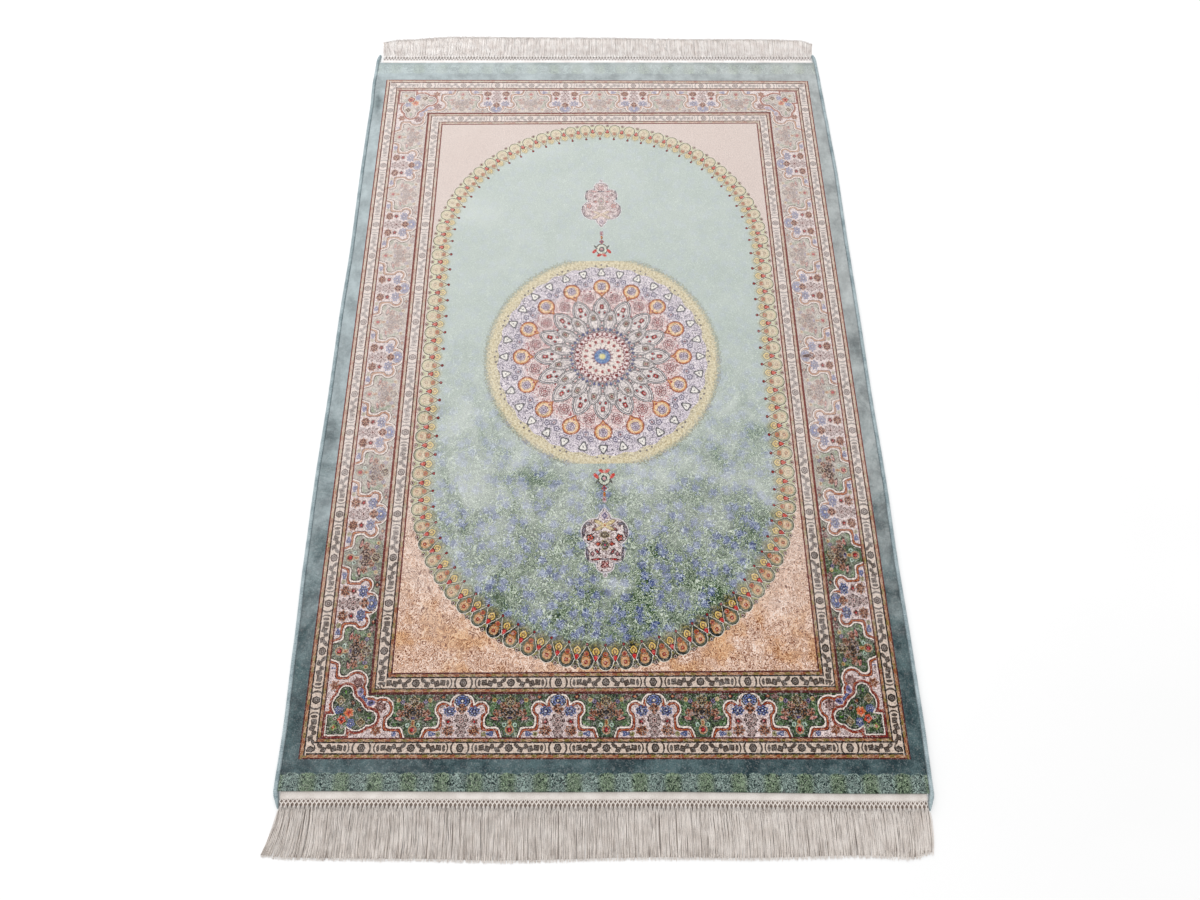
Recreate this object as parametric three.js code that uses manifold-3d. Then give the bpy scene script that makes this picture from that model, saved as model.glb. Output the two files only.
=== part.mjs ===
// A rectangular silky pile rug laid flat on a floor, built from five sewn pieces:
// the pile cloth, an overcast selvedge binding along each long side, and a fringe
// tape across each end, whose header band and knotted net carry the loose strands.
// Millimetres, +Z up, +Y along the rug towards its far end. The origin lies on the
// floor under the middle of the pile cloth.

import * as THREE from "three";
import { mergeVertices } from "three/addons/utils/BufferGeometryUtils.js";
import Module from "manifold-3d";

const wasm = await Module();
wasm.setup();

// Driving dimensions
const PILE_WIDTH = 790;
const PILE_LENGTH = 1186;
const PILE_THICKNESS = 6;
const PILE_EDGE_ROUND = 1.4;
const SEWN_GAP = 0.3;
const SELVEDGE_WIDTH = 6.1;
const SELVEDGE_HEIGHT = 6.4;
const TAPE_WIDTH = 8.6;
const TAPE_THICKNESS = 2.6;
const NET_WIDTH = 9;
const NET_THICKNESS = 2.2;
const TAPE_END_INSET = { near: { left: 2.5, right: 2.5 }, far: { left: 5, right: 1.8 } };
const STRAND_PITCH = 5.28;
const STRAND_ROOT_WIDTH = 3.7;
const STRAND_TIP_WIDTH = 2.7;
const STRAND_HEIGHT = 1.9;
const STRAND_OVERLAP = 1.5;
const STRAND_STATIONS = [0, 0.45, 1];
const SIDE_STEPS = 30;
const END_STEPS = 12;

// How far each long edge runs outside its straight line, along the rug
const SIDE_ROWS = [
  { y: 593, left: -0.8, right: -5.0 },
  { y: 540, left: 0.6, right: -3.8 },
  { y: 490, left: -1.0, right: -2.4 },
  { y: 440, left: -0.3, right: -0.9 },
  { y: 340, left: 0.0, right: 1.2 },
  { y: 200, left: -1.1, right: 0.3 },
  { y: 60, left: 1.2, right: 0.6 },
  { y: -60, left: 1.0, right: 0.0 },
  { y: -200, left: 2.9, right: 1.3 },
  { y: -310, left: 2.3, right: 0.0 },
  { y: -420, left: 0.1, right: 0.8 },
  { y: -520, left: -1.6, right: 0.9 },
  { y: -593, left: -0.4, right: -0.6 },
];

// How far each short edge runs outside its straight line, across the rug
const END_ROWS = [
  { x: -395, far: 0.0, near: -4.1 },
  { x: 0, far: 0.3, near: -0.4 },
  { x: 395, far: 0.0, near: 4.6 },
];

// Strand tips of each fringe: reach past the pile's straight end, and sideways drift
const NEAR_TIPS = [
  { x: -389, reach: 67, drift: -13.5 },
  { x: -372, reach: 69.5, drift: -6.5 },
  { x: -335, reach: 70.5, drift: -1.5 },
  { x: -240, reach: 72, drift: 0 },
  { x: -118, reach: 75, drift: 1 },
  { x: 50, reach: 73, drift: 0.5 },
  { x: 183, reach: 74.5, drift: 0 },
  { x: 306, reach: 73, drift: 0.8 },
  { x: 365, reach: 75.5, drift: -1.5 },
  { x: 389, reach: 70.5, drift: -4 },
];
const FAR_TIPS = [
  { x: -389, reach: 57, drift: -4 },
  { x: -365, reach: 62.5, drift: -2 },
  { x: -262, reach: 70.4, drift: 0 },
  { x: 3, reach: 68, drift: 0.5 },
  { x: 188, reach: 64.5, drift: 0 },
  { x: 299, reach: 64.5, drift: 1 },
  { x: 370, reach: 61.5, drift: 4 },
  { x: 389, reach: 53.5, drift: 5.5 },
];

// The selvedge tails past the pile's ends: how far on, where the tail's inner and
// outer sides lie outside the pile's long edge, and the share of height left there
const NEAR_TAIL = [
  { past: 5, inner: -0.6, outer: 5.4, height: 0.95 },
  { past: 10, inner: -1.8, outer: 3.2, height: 0.85 },
  { past: 15, inner: -2.0, outer: 1.0, height: 0.7 },
  { past: 19, inner: -2.1, outer: -1.0, height: 0.5 },
];
const FAR_TAIL = [
  { past: 7, inner: 0.3, outer: 6.2, height: 0.95 },
  { past: 14, inner: -0.4, outer: 5.2, height: 0.85 },
  { past: 21, inner: -0.9, outer: 2.9, height: 0.6 },
];

// A selvedge's section, as shares of its width and height from the inner foot
const SELVEDGE_SECTION = [
  { across: 0.0, up: 0.0 },
  { across: 0.0, up: 0.72 },
  { across: 0.2, up: 0.95 },
  { across: 0.5, up: 1.0 },
  { across: 0.8, up: 0.86 },
  { across: 1.0, up: 0.5 },
  { across: 0.88, up: 0.0 },
];

const COLOURS = { pile: 0x7fa296, selvedge: 0xa9bfc8, fringe: 0xdcd3cc };

// The table's value at a place, eased from row to row
function fromTable(rows, key, place, column) {
  const sorted = [...rows].sort((a, b) => a[key] - b[key]);
  const last = sorted.length - 1;
  if (place <= sorted[0][key]) return sorted[0][column];
  if (place >= sorted[last][key]) return sorted[last][column];
  const i = sorted.findIndex((row) => row[key] > place);
  const share = (place - sorted[i - 1][key]) / (sorted[i][key] - sorted[i - 1][key]);
  const eased = THREE.MathUtils.smoothstep(share, 0, 1);
  return THREE.MathUtils.lerp(sorted[i - 1][column], sorted[i][column], eased);
}

// Side -1 is the left long edge, +1 the right one
function longEdgeX(side, y) {
  const out = fromTable(SIDE_ROWS, "y", y, side < 0 ? "left" : "right");
  return side * (PILE_WIDTH / 2 + out);
}

// End -1 is the near short edge, +1 the far one
function shortEdgeY(end, x) {
  const out = fromTable(END_ROWS, "x", x, end < 0 ? "near" : "far");
  return end * (PILE_LENGTH / 2 + out);
}

function closedGeometry(positions, faces) {
  const geometry = new THREE.BufferGeometry();
  geometry.setAttribute("position", new THREE.Float32BufferAttribute(positions.flat(), 3));
  geometry.setIndex(faces.flat());
  return geometry;
}

// Rings with the same number of points, each counter-clockwise seen from ahead, are
// joined in a row, and the first and last are closed with their triangulations.
function ringLoft(rings, capTriangles) {
  const count = rings[0].length;
  const faces = [];
  for (let k = 0; k + 1 < rings.length; k++) {
    for (let i = 0; i < count; i++) {
      const a = k * count + i;
      const b = k * count + ((i + 1) % count);
      faces.push([a, b, b + count], [a, b + count, a + count]);
    }
  }
  const top = (rings.length - 1) * count;
  capTriangles.forEach(([a, b, c]) => {
    faces.push([a, c, b], [top + a, top + b, top + c]);
  });
  return closedGeometry(rings.flat(), faces);
}

function fan(count) {
  return Array.from({ length: count - 2 }, (_, i) => [0, i + 1, i + 2]);
}

function pileOutline(inset) {
  const points = [];
  const half = PILE_LENGTH / 2;
  const between = (from, to, share) => THREE.MathUtils.lerp(from, to, share);
  for (let i = 0; i < SIDE_STEPS; i++) {
    const y = between(shortEdgeY(-1, PILE_WIDTH / 2), half, i / SIDE_STEPS);
    points.push([longEdgeX(1, y) - inset, Math.max(y, shortEdgeY(-1, PILE_WIDTH / 2) + inset)]);
  }
  for (let i = 0; i < END_STEPS; i++) {
    const x = between(longEdgeX(1, half), longEdgeX(-1, half), i / END_STEPS);
    points.push([Math.min(x, longEdgeX(1, half) - inset), shortEdgeY(1, x) - inset]);
  }
  for (let i = 0; i < SIDE_STEPS; i++) {
    const y = between(half, shortEdgeY(-1, -PILE_WIDTH / 2), i / SIDE_STEPS);
    points.push([longEdgeX(-1, y) + inset, Math.min(y, half - inset)]);
  }
  for (let i = 0; i < END_STEPS; i++) {
    const x = between(longEdgeX(-1, -half), longEdgeX(1, -half), i / END_STEPS);
    points.push([Math.max(x, longEdgeX(-1, -half) + inset), shortEdgeY(-1, x) + inset]);
  }
  return points;
}

function pileCloth() {
  const foot = pileOutline(0);
  const top = pileOutline(PILE_EDGE_ROUND);
  const caps = THREE.ShapeUtils.triangulateShape(
    foot.map(([x, y]) => new THREE.Vector2(x, y)),
    [],
  );
  const at = (outline, z) => outline.map(([x, y]) => [x, y, z]);
  const rings = [
    at(foot, 0),
    at(foot, PILE_THICKNESS - PILE_EDGE_ROUND),
    at(top, PILE_THICKNESS),
  ];
  return ringLoft(rings, caps);
}

// Stations of a selvedge from its near tail to its far tail: the inner foot's place
function selvedgeStations(side) {
  const near = shortEdgeY(-1, side * PILE_WIDTH / 2);
  const far = shortEdgeY(1, side * PILE_WIDTH / 2);
  const tail = (rows, end, from) =>
    rows.map((row) => ({
      y: from + end * row.past,
      inner: row.inner,
      outer: row.outer,
      height: row.height * SELVEDGE_HEIGHT,
    }));
  const middle = Array.from({ length: SIDE_STEPS + 1 }, (_, i) => ({
    y: THREE.MathUtils.lerp(near, far, i / SIDE_STEPS),
    inner: SEWN_GAP,
    outer: SEWN_GAP + SELVEDGE_WIDTH,
    height: SELVEDGE_HEIGHT,
  }));
  return [...tail(NEAR_TAIL, -1, near).reverse(), ...middle, ...tail(FAR_TAIL, 1, far)];
}

function selvedge(side) {
  const rings = selvedgeStations(side).map(({ y, inner, outer, height }) => {
    const ring = SELVEDGE_SECTION.map(({ across, up }) => [
      longEdgeX(side, y) + side * THREE.MathUtils.lerp(inner, outer, across),
      y,
      up * height,
    ]);
    return side < 0 ? ring.reverse() : ring;
  });
  return ringLoft(rings, fan(SELVEDGE_SECTION.length));
}

// A three-sided lock lying level on the floor, from inside the net to its free tip
function strand(end, x, tips, index) {
  const root = shortEdgeY(end, x) + end * (SEWN_GAP + TAPE_WIDTH + NET_WIDTH - STRAND_OVERLAP);
  const uneven = Math.sin(index * 2.4) + 0.6 * Math.sin(index * 0.9);
  const tip = end * (PILE_LENGTH / 2 + fromTable(tips, "x", x, "reach") + 0.7 * uneven);
  const drift = fromTable(tips, "x", x, "drift");
  const sway = 0.9 * Math.sin(x / 31) + 0.6 * Math.sin(x / 13 + 1);
  const rings = STRAND_STATIONS.map((share) => {
    const half = THREE.MathUtils.lerp(STRAND_ROOT_WIDTH, STRAND_TIP_WIDTH, share) / 2;
    const middle = x + drift * share ** 1.6 + sway * Math.sin(share * 2.2);
    const y = THREE.MathUtils.lerp(root, tip, share);
    const height = STRAND_HEIGHT * (1 - 0.25 * share);
    const ring = [
      [middle - half, y, 0],
      [middle + half, y, 0],
      [middle, y, height],
    ];
    return end < 0 ? ring : ring.reverse();
  });
  return ringLoft(rings, [[0, 1, 2]]);
}

// The two ends of a fringe tape, just inside the selvedges
function tapeSpan(end) {
  const inset = end < 0 ? TAPE_END_INSET.near : TAPE_END_INSET.far;
  const y = (end * PILE_LENGTH) / 2;
  return [longEdgeX(-1, y) + inset.left, longEdgeX(1, y) - inset.right];
}

// The header band and the thinner net beyond it, as one stepped strip
function fringeStrip(end) {
  const [from, to] = tapeSpan(end);
  const profile = [
    { out: SEWN_GAP, z: 0 },
    { out: SEWN_GAP + TAPE_WIDTH + NET_WIDTH, z: 0 },
    { out: SEWN_GAP + TAPE_WIDTH + NET_WIDTH, z: NET_THICKNESS },
    { out: SEWN_GAP + TAPE_WIDTH, z: NET_THICKNESS },
    { out: SEWN_GAP + TAPE_WIDTH - 0.6, z: TAPE_THICKNESS },
    { out: SEWN_GAP, z: TAPE_THICKNESS },
  ];
  const caps = THREE.ShapeUtils.triangulateShape(
    profile.map(({ out, z }) => new THREE.Vector2(out, z)),
    [],
  );
  const rings = Array.from({ length: END_STEPS + 1 }, (_, i) => {
    const x = THREE.MathUtils.lerp(from, to, i / END_STEPS);
    return profile.map(({ out, z }) => [x, shortEdgeY(end, x) + end * out, z]);
  });
  return end < 0 ? ringLoft(rings.reverse(), caps) : ringLoft(rings, caps);
}

function toSolid(geometry) {
  const merged = mergeVertices(geometry, 1e-3);
  const solid = new wasm.Manifold(
    new wasm.Mesh({
      numProp: 3,
      vertProperties: new Float32Array(merged.attributes.position.array),
      triVerts: new Uint32Array(merged.index.array),
    }),
  );
  if (solid.volume() <= 0) throw new Error("a piece's faces point inwards");
  return solid;
}

function fromSolid(solid) {
  const mesh = solid.getMesh();
  const geometry = new THREE.BufferGeometry();
  geometry.setAttribute("position", new THREE.BufferAttribute(mesh.vertProperties, 3));
  geometry.setIndex(new THREE.BufferAttribute(mesh.triVerts, 1));
  return geometry;
}

function fringe(end, tips) {
  const [from, to] = tapeSpan(end);
  const count = Math.floor((to - from) / STRAND_PITCH);
  let solid = toSolid(fringeStrip(end));
  for (let i = 0; i < count; i++) {
    const x = THREE.MathUtils.lerp(from, to, (i + 0.5) / count);
    solid = solid.add(toSolid(strand(end, x, tips, i)));
  }
  return fromSolid(solid);
}

function piece(name, geometry, colour, roughness) {
  const material = new THREE.MeshStandardMaterial({ color: colour, roughness, metalness: 0 });
  const mesh = new THREE.Mesh(geometry, material);
  mesh.name = name;
  return mesh;
}

const rug = new THREE.Group();
rug.add(
  piece("pile_cloth", pileCloth(), COLOURS.pile, 0.7),
  piece("selvedge_left", selvedge(-1), COLOURS.selvedge, 0.5),
  piece("selvedge_right", selvedge(1), COLOURS.selvedge, 0.5),
  piece("fringe_near", fringe(-1, NEAR_TIPS), COLOURS.fringe, 0.8),
  piece("fringe_far", fringe(1, FAR_TIPS), COLOURS.fringe, 0.8),
);

export default rug;
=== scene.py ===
# A silky persian rug lying flat: the pile with its woven pattern, the overcast
# selvedges, and at each end a tape, a knotted net and the loose fringe threads.
# Blender works in metres; the pattern's own measurements below are millimetres.

import math

import bpy
import numpy as np
from mathutils import Matrix, Vector


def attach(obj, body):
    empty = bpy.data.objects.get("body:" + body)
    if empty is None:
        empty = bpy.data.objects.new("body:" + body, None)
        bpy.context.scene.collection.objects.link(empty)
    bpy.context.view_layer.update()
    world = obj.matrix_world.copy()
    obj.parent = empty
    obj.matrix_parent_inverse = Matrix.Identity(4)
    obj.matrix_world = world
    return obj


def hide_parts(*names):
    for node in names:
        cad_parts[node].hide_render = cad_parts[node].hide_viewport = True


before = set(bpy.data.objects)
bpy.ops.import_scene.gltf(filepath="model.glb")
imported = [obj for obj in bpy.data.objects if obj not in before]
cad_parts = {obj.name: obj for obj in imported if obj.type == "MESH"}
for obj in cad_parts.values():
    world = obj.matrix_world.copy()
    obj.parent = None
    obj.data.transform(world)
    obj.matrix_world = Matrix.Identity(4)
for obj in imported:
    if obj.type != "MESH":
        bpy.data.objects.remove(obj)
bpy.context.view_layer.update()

MM = 0.001

# The solids' own measurements, repeated
PILE_WIDTH = 790
PILE_LENGTH = 1186
PILE_THICKNESS = 6.0
SEWN_GAP = 0.3
SELVEDGE_WIDTH = 6.1
SELVEDGE_HEIGHT = 6.4
TAPE_WIDTH = 8.6
NET_WIDTH = 9.0
STRAND_PITCH = 5.28
TAPE_END_INSET = {"near": (2.5, 2.5), "far": (5.0, 1.8)}

# The cloth's real edges: y, then how far the left and the right one run outside
# their straight line
SIDE_ROWS = [
    (593, -0.8, -5.0),
    (540, 0.6, -3.8),
    (490, -1.0, -2.4),
    (440, -0.3, -0.9),
    (340, 0.0, 1.2),
    (200, -1.1, 0.3),
    (60, 1.2, 0.6),
    (-60, 1.0, 0.0),
    (-200, 2.9, 1.3),
    (-310, 2.3, 0.0),
    (-420, 0.1, 0.8),
    (-520, -1.6, 0.9),
    (-593, -0.4, -0.6),
]
# x, then how far the far and the near short edge run outside their straight line
END_ROWS = [(-395, 0.0, -4.1), (0, 0.3, -0.4), (395, 0.0, 4.6)]
# The loose threads' tips: x, reach past the pile's straight end, sideways drift
NEAR_TIPS = [
    (-389, 67, -13.5),
    (-372, 69.5, -6.5),
    (-335, 70.5, -1.5),
    (-240, 72, 0),
    (-118, 75, 1),
    (50, 73, 0.5),
    (183, 74.5, 0),
    (306, 73, 0.8),
    (365, 75.5, -1.5),
    (389, 70.5, -4),
]
FAR_TIPS = [
    (-389, 57, -4),
    (-365, 62.5, -2),
    (-262, 70.4, 0),
    (3, 68, 0.5),
    (188, 64.5, 0),
    (299, 64.5, 1),
    (370, 61.5, 4),
    (389, 53.5, 5.5),
]
# The bindings' tails: distance past the pile's end, inner and outer side, share of height
NEAR_TAIL = [(5, -0.6, 5.4, 0.95), (10, -1.8, 3.2, 0.85), (15, -2.0, 1.0, 0.7), (19, -2.1, -1.0, 0.5)]
FAR_TAIL = [(7, 0.3, 6.2, 0.95), (14, -0.4, 5.2, 0.85), (21, -0.9, 2.9, 0.6)]

# The woven pattern's straight lines as they really lie on the rug.
# u, then x at the far end and x at the near end
PATTERN_COLUMNS = [
    (-395, -394.8, -395.4),
    (-376, -377.1, -374.6),
    (-272, -270.1, -268.8),
    (0, 1.7, 3.1),
    (272, 273.5, 275.1),
    (376, 374.2, 377.6),
    (395, 391.5, 394.8),
]
# v, then y at the left side and y at the right side
PATTERN_ROWS = [
    (-590, -589.0, -597.8),
    (-553, -553.4, -559.6),
    (-449, -453.5, -454.3),
    (0, -2.3, -2.3),
    (449, 447.2, 450.4),
    (553, 551.2, 547.8),
    (597, 593.0, 593.0),
]

# The pattern's own half width, and how far it runs each way from its middle
HALF_WIDTH = 395.0
NEAR_END = 590.0
FAR_END = 597.0

# The border's bands, measured inwards from its outer line
OUTER_LINE_U = 376.0
OUTER_LINE_V = 553.0
GUARD_WIDTH = 25.3
MAIN_END = 76.8
FIELD_START = 104.0
# The inner guard's lines, each beside the same line of the outer guard
INNER_GUARD = [
    (76.8, 0.0),
    (79.5, 1.3),
    (83.3, 5.3),
    (84.8, 7.2),
    (97.0, 18.8),
    (98.3, 20.1),
    (102.2, 23.8),
    (104.0, 25.3),
]
MOTIF_PERIOD = 120.6
BLOCK_PERIOD = MOTIF_PERIOD / 3
CORNER_REACH = 84.0
ORNAMENT_START = 17.0

# The oval: its outer curve is a straight side with a half ellipse at each end
OVAL_HALF_WIDTH = 270.0
OVAL_STRAIGHT = 197.0
OVAL_END = 250.0
RING_MOTIFS_END = 15.5
RING_MOTIFS_SIDE = 7.0
RING_PITCH = 26.6
RING_INSIDE = 46.0
MEDALLION_REACH = 184.0
MEDALLION_AXES = 16
PENDANT_HALF = 46.0
PENDANT_START = 168.0
PENDANT_END = 342.0

rng = np.random.default_rng(7)


def eased(rows, place, column):
    """A table's value at each place, eased from row to row as in the solids."""
    rows = sorted(rows)
    keys = np.array([row[0] for row in rows], float)
    values = np.array([row[column] for row in rows], float)
    place = np.clip(np.asarray(place, float), keys[0], keys[-1])
    i = np.clip(np.searchsorted(keys, place, side="right") - 1, 0, len(keys) - 2)
    share = (place - keys[i]) / (keys[i + 1] - keys[i])
    share = share * share * (3 - 2 * share)
    return values[i] * (1 - share) + values[i + 1] * share


def long_edge_x(side, y):
    return side * (PILE_WIDTH / 2 + eased(SIDE_ROWS, y, 1 if side < 0 else 2))


def short_edge_y(end, x):
    return end * (PILE_LENGTH / 2 + eased(END_ROWS, x, 2 if end < 0 else 1))


def on_rug(u, v):
    """Where a point of the pattern lies on the rug, from the two line tables."""
    columns = np.array(PATTERN_COLUMNS)
    rows = np.array(PATTERN_ROWS)
    along = (v + PILE_LENGTH / 2) / PILE_LENGTH
    across = (u + PILE_WIDTH / 2) / PILE_WIDTH
    x = np.interp(u, columns[:, 0], columns[:, 1]) * along
    x = x + np.interp(u, columns[:, 0], columns[:, 2]) * (1 - along)
    y = np.interp(v, rows[:, 0], rows[:, 1]) * (1 - across)
    y = y + np.interp(v, rows[:, 0], rows[:, 2]) * across
    return x, y


# Camera

IMAGE_WIDTH = 1200
SENSOR_WIDTH = 36
FOCAL_PIXELS = 683.8
CAMERA_PLACE = (-0.0102, -0.4884, 0.9241)
CAMERA_PITCH = math.radians(69.89)
CAMERA_YAW = math.radians(1.36)
CAMERA_ROLL = math.radians(1.01)


def add_camera():
    forward = np.array([0, math.cos(CAMERA_PITCH), -math.sin(CAMERA_PITCH)])
    right = np.array([1.0, 0, 0])
    up = np.cross(right, forward)
    cy, sy = math.cos(CAMERA_YAW), math.sin(CAMERA_YAW)
    cr, sr = math.cos(CAMERA_ROLL), math.sin(CAMERA_ROLL)
    yaw = np.array([[cy, -sy, 0], [sy, cy, 0], [0, 0, 1]])
    roll = np.array([[cr, -sr, 0], [sr, cr, 0], [0, 0, 1]])
    rows = roll @ np.array([right, -up, forward]) @ yaw
    axes = np.array([rows[0], -rows[1], -rows[2]]).T
    matrix = Matrix(axes.tolist()).to_4x4()
    matrix.translation = Vector(CAMERA_PLACE)
    data = bpy.data.cameras.new("camera")
    data.sensor_width = SENSOR_WIDTH
    data.lens = FOCAL_PIXELS * SENSOR_WIDTH / IMAGE_WIDTH
    camera = bpy.data.objects.new("camera", data)
    camera.matrix_world = matrix
    bpy.context.scene.collection.objects.link(camera)
    bpy.context.scene.camera = camera


def add_area_light(name, place, target, width, height, power):
    data = bpy.data.lights.new(name, "AREA")
    data.shape = "RECTANGLE"
    data.size = width
    data.size_y = height
    data.energy = power
    light = bpy.data.objects.new(name, data)
    light.location = place
    aim = Vector(target) - Vector(place)
    light.rotation_euler = aim.to_track_quat("-Z", "Y").to_euler()
    bpy.context.scene.collection.objects.link(light)


def add_studio():
    scene = bpy.context.scene
    scene.view_settings.view_transform = "Standard"
    world = bpy.data.worlds.new("studio")
    scene.world = world
    world.use_nodes = True
    background = world.node_tree.nodes["Background"]
    background.inputs["Color"].default_value = (1.0, 1.0, 1.0, 1.0)
    background.inputs["Strength"].default_value = 0.8
    add_area_light("window", (-0.5, 2.7, 1.5), (0, 0.45, 0), 3.2, 1.6, 50)
    add_area_light("overhead", (-0.7, -0.7, 2.6), (0, -0.1, 0), 1.8, 1.8, 17)


# Materials

NAMED = {
    "margin": "2e4045",
    "margin_light": "5a7073",
    "dark": "1e0c08",
    "dark_red": "7c1418",
    "cable": "c8a07c",
    "cream": "e8dacf",
    "grey_brown": "3c3430",
    "grey": "75685f",
    "green_dark": "1f332c",
    "rust_dark": "6e2e16",
    "rust": "a8562a",
    "rust_light": "c88244",
    "edging": "f8eee6",
    "navy": "1f2c58",
    "blue": "3c54a0",
    "blue_pale": "b9c3e0",
    "burgundy": "5a1e20",
    "white_pink": "f8eae8",
    "leaf": "7fae4c",
}


def colour(name):
    """A named or written-out sRGB colour as linear values."""
    code = NAMED.get(name, name)
    parts = [int(code[i : i + 2], 16) / 255 for i in (0, 2, 4)]
    linear = [((c + 0.055) / 1.055) ** 2.4 if c > 0.04045 else c / 12.92 for c in parts]
    return (*linear, 1.0)


# Past a shape's edge a ramp's value stays at 1, so its clear stop lies just below
RAMP_END = 0.999


class Cloth:
    """One material's nodes, made in the order in which they are worked out."""

    def __init__(self, name):
        self.material = bpy.data.materials.new(name)
        self.material.use_nodes = True
        self.nodes = self.material.node_tree.nodes
        self.links = self.material.node_tree.links
        self.nodes.clear()

    def put(self, socket, value):
        if isinstance(value, bpy.types.NodeSocket):
            self.links.new(value, socket)
        elif isinstance(value, str):
            socket.default_value = colour(value)
        elif isinstance(value, tuple) and len(value) == 2:
            socket.default_value = (*value, 0.0)
        elif value is not None:
            socket.default_value = value

    def attribute(self, name):
        node = self.nodes.new("ShaderNodeAttribute")
        node.attribute_type = "GEOMETRY"
        node.attribute_name = name
        return node.outputs["Vector"]

    def math(self, operation, a, b=None, c=None, clamp=False):
        node = self.nodes.new("ShaderNodeMath")
        node.operation = operation
        node.use_clamp = clamp
        for socket, value in zip(node.inputs, (a, b, c)):
            self.put(socket, value)
        return node.outputs[0]

    def times(self, a, b, clamp=False):
        return self.math("MULTIPLY", a, b, clamp=clamp)

    def times_plus(self, a, b, c, clamp=False):
        return self.math("MULTIPLY_ADD", a, b, c, clamp=clamp)

    def minus(self, a, b):
        return self.math("SUBTRACT", a, b)

    def vector(self, operation, a, b=None, scale=None):
        node = self.nodes.new("ShaderNodeVectorMath")
        node.operation = operation
        self.put(node.inputs[0], a)
        if b is not None:
            self.put(node.inputs[1], b)
        if scale is not None:
            self.put(node.inputs["Scale"], scale)
        return node.outputs["Value" if operation in ("LENGTH", "DISTANCE", "DOT_PRODUCT") else "Vector"]

    def parts(self, vector):
        node = self.nodes.new("ShaderNodeSeparateXYZ")
        self.put(node.inputs[0], vector)
        return node.outputs[0], node.outputs[1]

    def join(self, x, y):
        node = self.nodes.new("ShaderNodeCombineXYZ")
        self.put(node.inputs[0], x)
        self.put(node.inputs[1], y)
        return node.outputs[0]

    def placed(self, place, x, y, half_x, half_y, turn=0):
        """The place in an ellipse's own measure, where its edge is at length 1."""
        node = self.nodes.new("ShaderNodeMapping")
        node.vector_type = "TEXTURE"
        self.put(node.inputs["Vector"], place)
        self.put(node.inputs["Location"], (float(x), float(y), 0.0))
        self.put(node.inputs["Rotation"], (0.0, 0.0, math.radians(turn)))
        self.put(node.inputs["Scale"], (float(half_x), float(half_y), 1.0))
        return node.outputs[0]

    def noise(self, place, size, detail=1.0, rough=0.5, distort=0.0, colour_out=False):
        node = self.nodes.new("ShaderNodeTexNoise")
        node.noise_dimensions = "2D"
        self.put(node.inputs["Vector"], place)
        self.put(node.inputs["Scale"], 1.0 / size)
        self.put(node.inputs["Detail"], detail)
        self.put(node.inputs["Roughness"], rough)
        self.put(node.inputs["Distortion"], distort)
        return node.outputs["Color" if colour_out else "Fac"]

    def cells(self, place, size, random):
        """The distance from the middle of the nearest of the scattered cells."""
        node = self.nodes.new("ShaderNodeTexVoronoi")
        node.voronoi_dimensions = "2D"
        self.put(node.inputs["Vector"], place)
        self.put(node.inputs["Scale"], 1.0 / size)
        self.put(node.inputs["Randomness"], random)
        return node.outputs["Distance"]

    def map(self, value, low, high, to_low=0.0, to_high=1.0, smooth=False):
        node = self.nodes.new("ShaderNodeMapRange")
        node.interpolation_type = "SMOOTHSTEP" if smooth else "LINEAR"
        for socket, number in zip(node.inputs, (value, low, high, to_low, to_high)):
            self.put(socket, number)
        return node.outputs[0]

    def mix(self, factor, below, above, blend="MIX"):
        node = self.nodes.new("ShaderNodeMix")
        node.data_type = "RGBA"
        node.blend_type = blend
        self.put(node.inputs["Factor"], factor)
        self.put(node.inputs[6], below)
        self.put(node.inputs[7], above)
        return node.outputs[2]

    def ramp(self, value, stops, soft=False):
        """Stops say from where on, 0 to 1, which colour shows, or None for clear."""
        linear = {}
        last = (0.5, 0.5, 0.5, 1.0)
        for position, name in stops.items():
            last = (*last[:3], 0.0) if name is None else colour(name)
            linear[position] = last
        node = self.plain_ramp(value, linear)
        node.color_ramp.interpolation = "LINEAR" if soft else "CONSTANT"
        return node.outputs["Color"], node.outputs["Alpha"]

    def plain_ramp(self, value, colours):
        """A ramp node through linear colours, each at its place from 0 to 1."""
        node = self.nodes.new("ShaderNodeValToRGB")
        elements = node.color_ramp.elements
        while len(elements) > 1:
            elements.remove(elements[-1])
        for i, (position, linear) in enumerate(colours.items()):
            element = elements[0] if i == 0 else elements.new(position)
            element.position = position
            element.color = linear
        self.put(node.inputs[0], value)
        return node

    def outside(self, place, x, y, radius):
        """How far the place lies outside a circle."""
        return self.minus(self.vector("DISTANCE", place, (x, y)), radius)

    def with_lobes(self, shape, place, lobes):
        """The shape's outline with round lobes melted on: x, y, radius and blend."""
        for x, y, radius, blend in lobes:
            shape = self.math("SMOOTH_MIN", shape, self.outside(place, x, y, radius), blend)
        return shape

    def turns(self, place):
        """How far round the origin the place lies, in whole turns."""
        node = self.nodes.new("ShaderNodeTexGradient")
        node.gradient_type = "RADIAL"
        self.put(node.inputs[0], place)
        return node.outputs["Fac"]

    def layers(self, below, reach, rings):
        """Rings of colour, each up to a share of the reach; past the last, nothing."""
        limits = list(rings)
        stops = dict(zip([0.0] + limits[:-1], rings.values()))
        stops[min(limits[-1], RAMP_END)] = None
        tint, cover = self.ramp(reach, stops)
        return self.mix(cover, below, tint)

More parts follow.
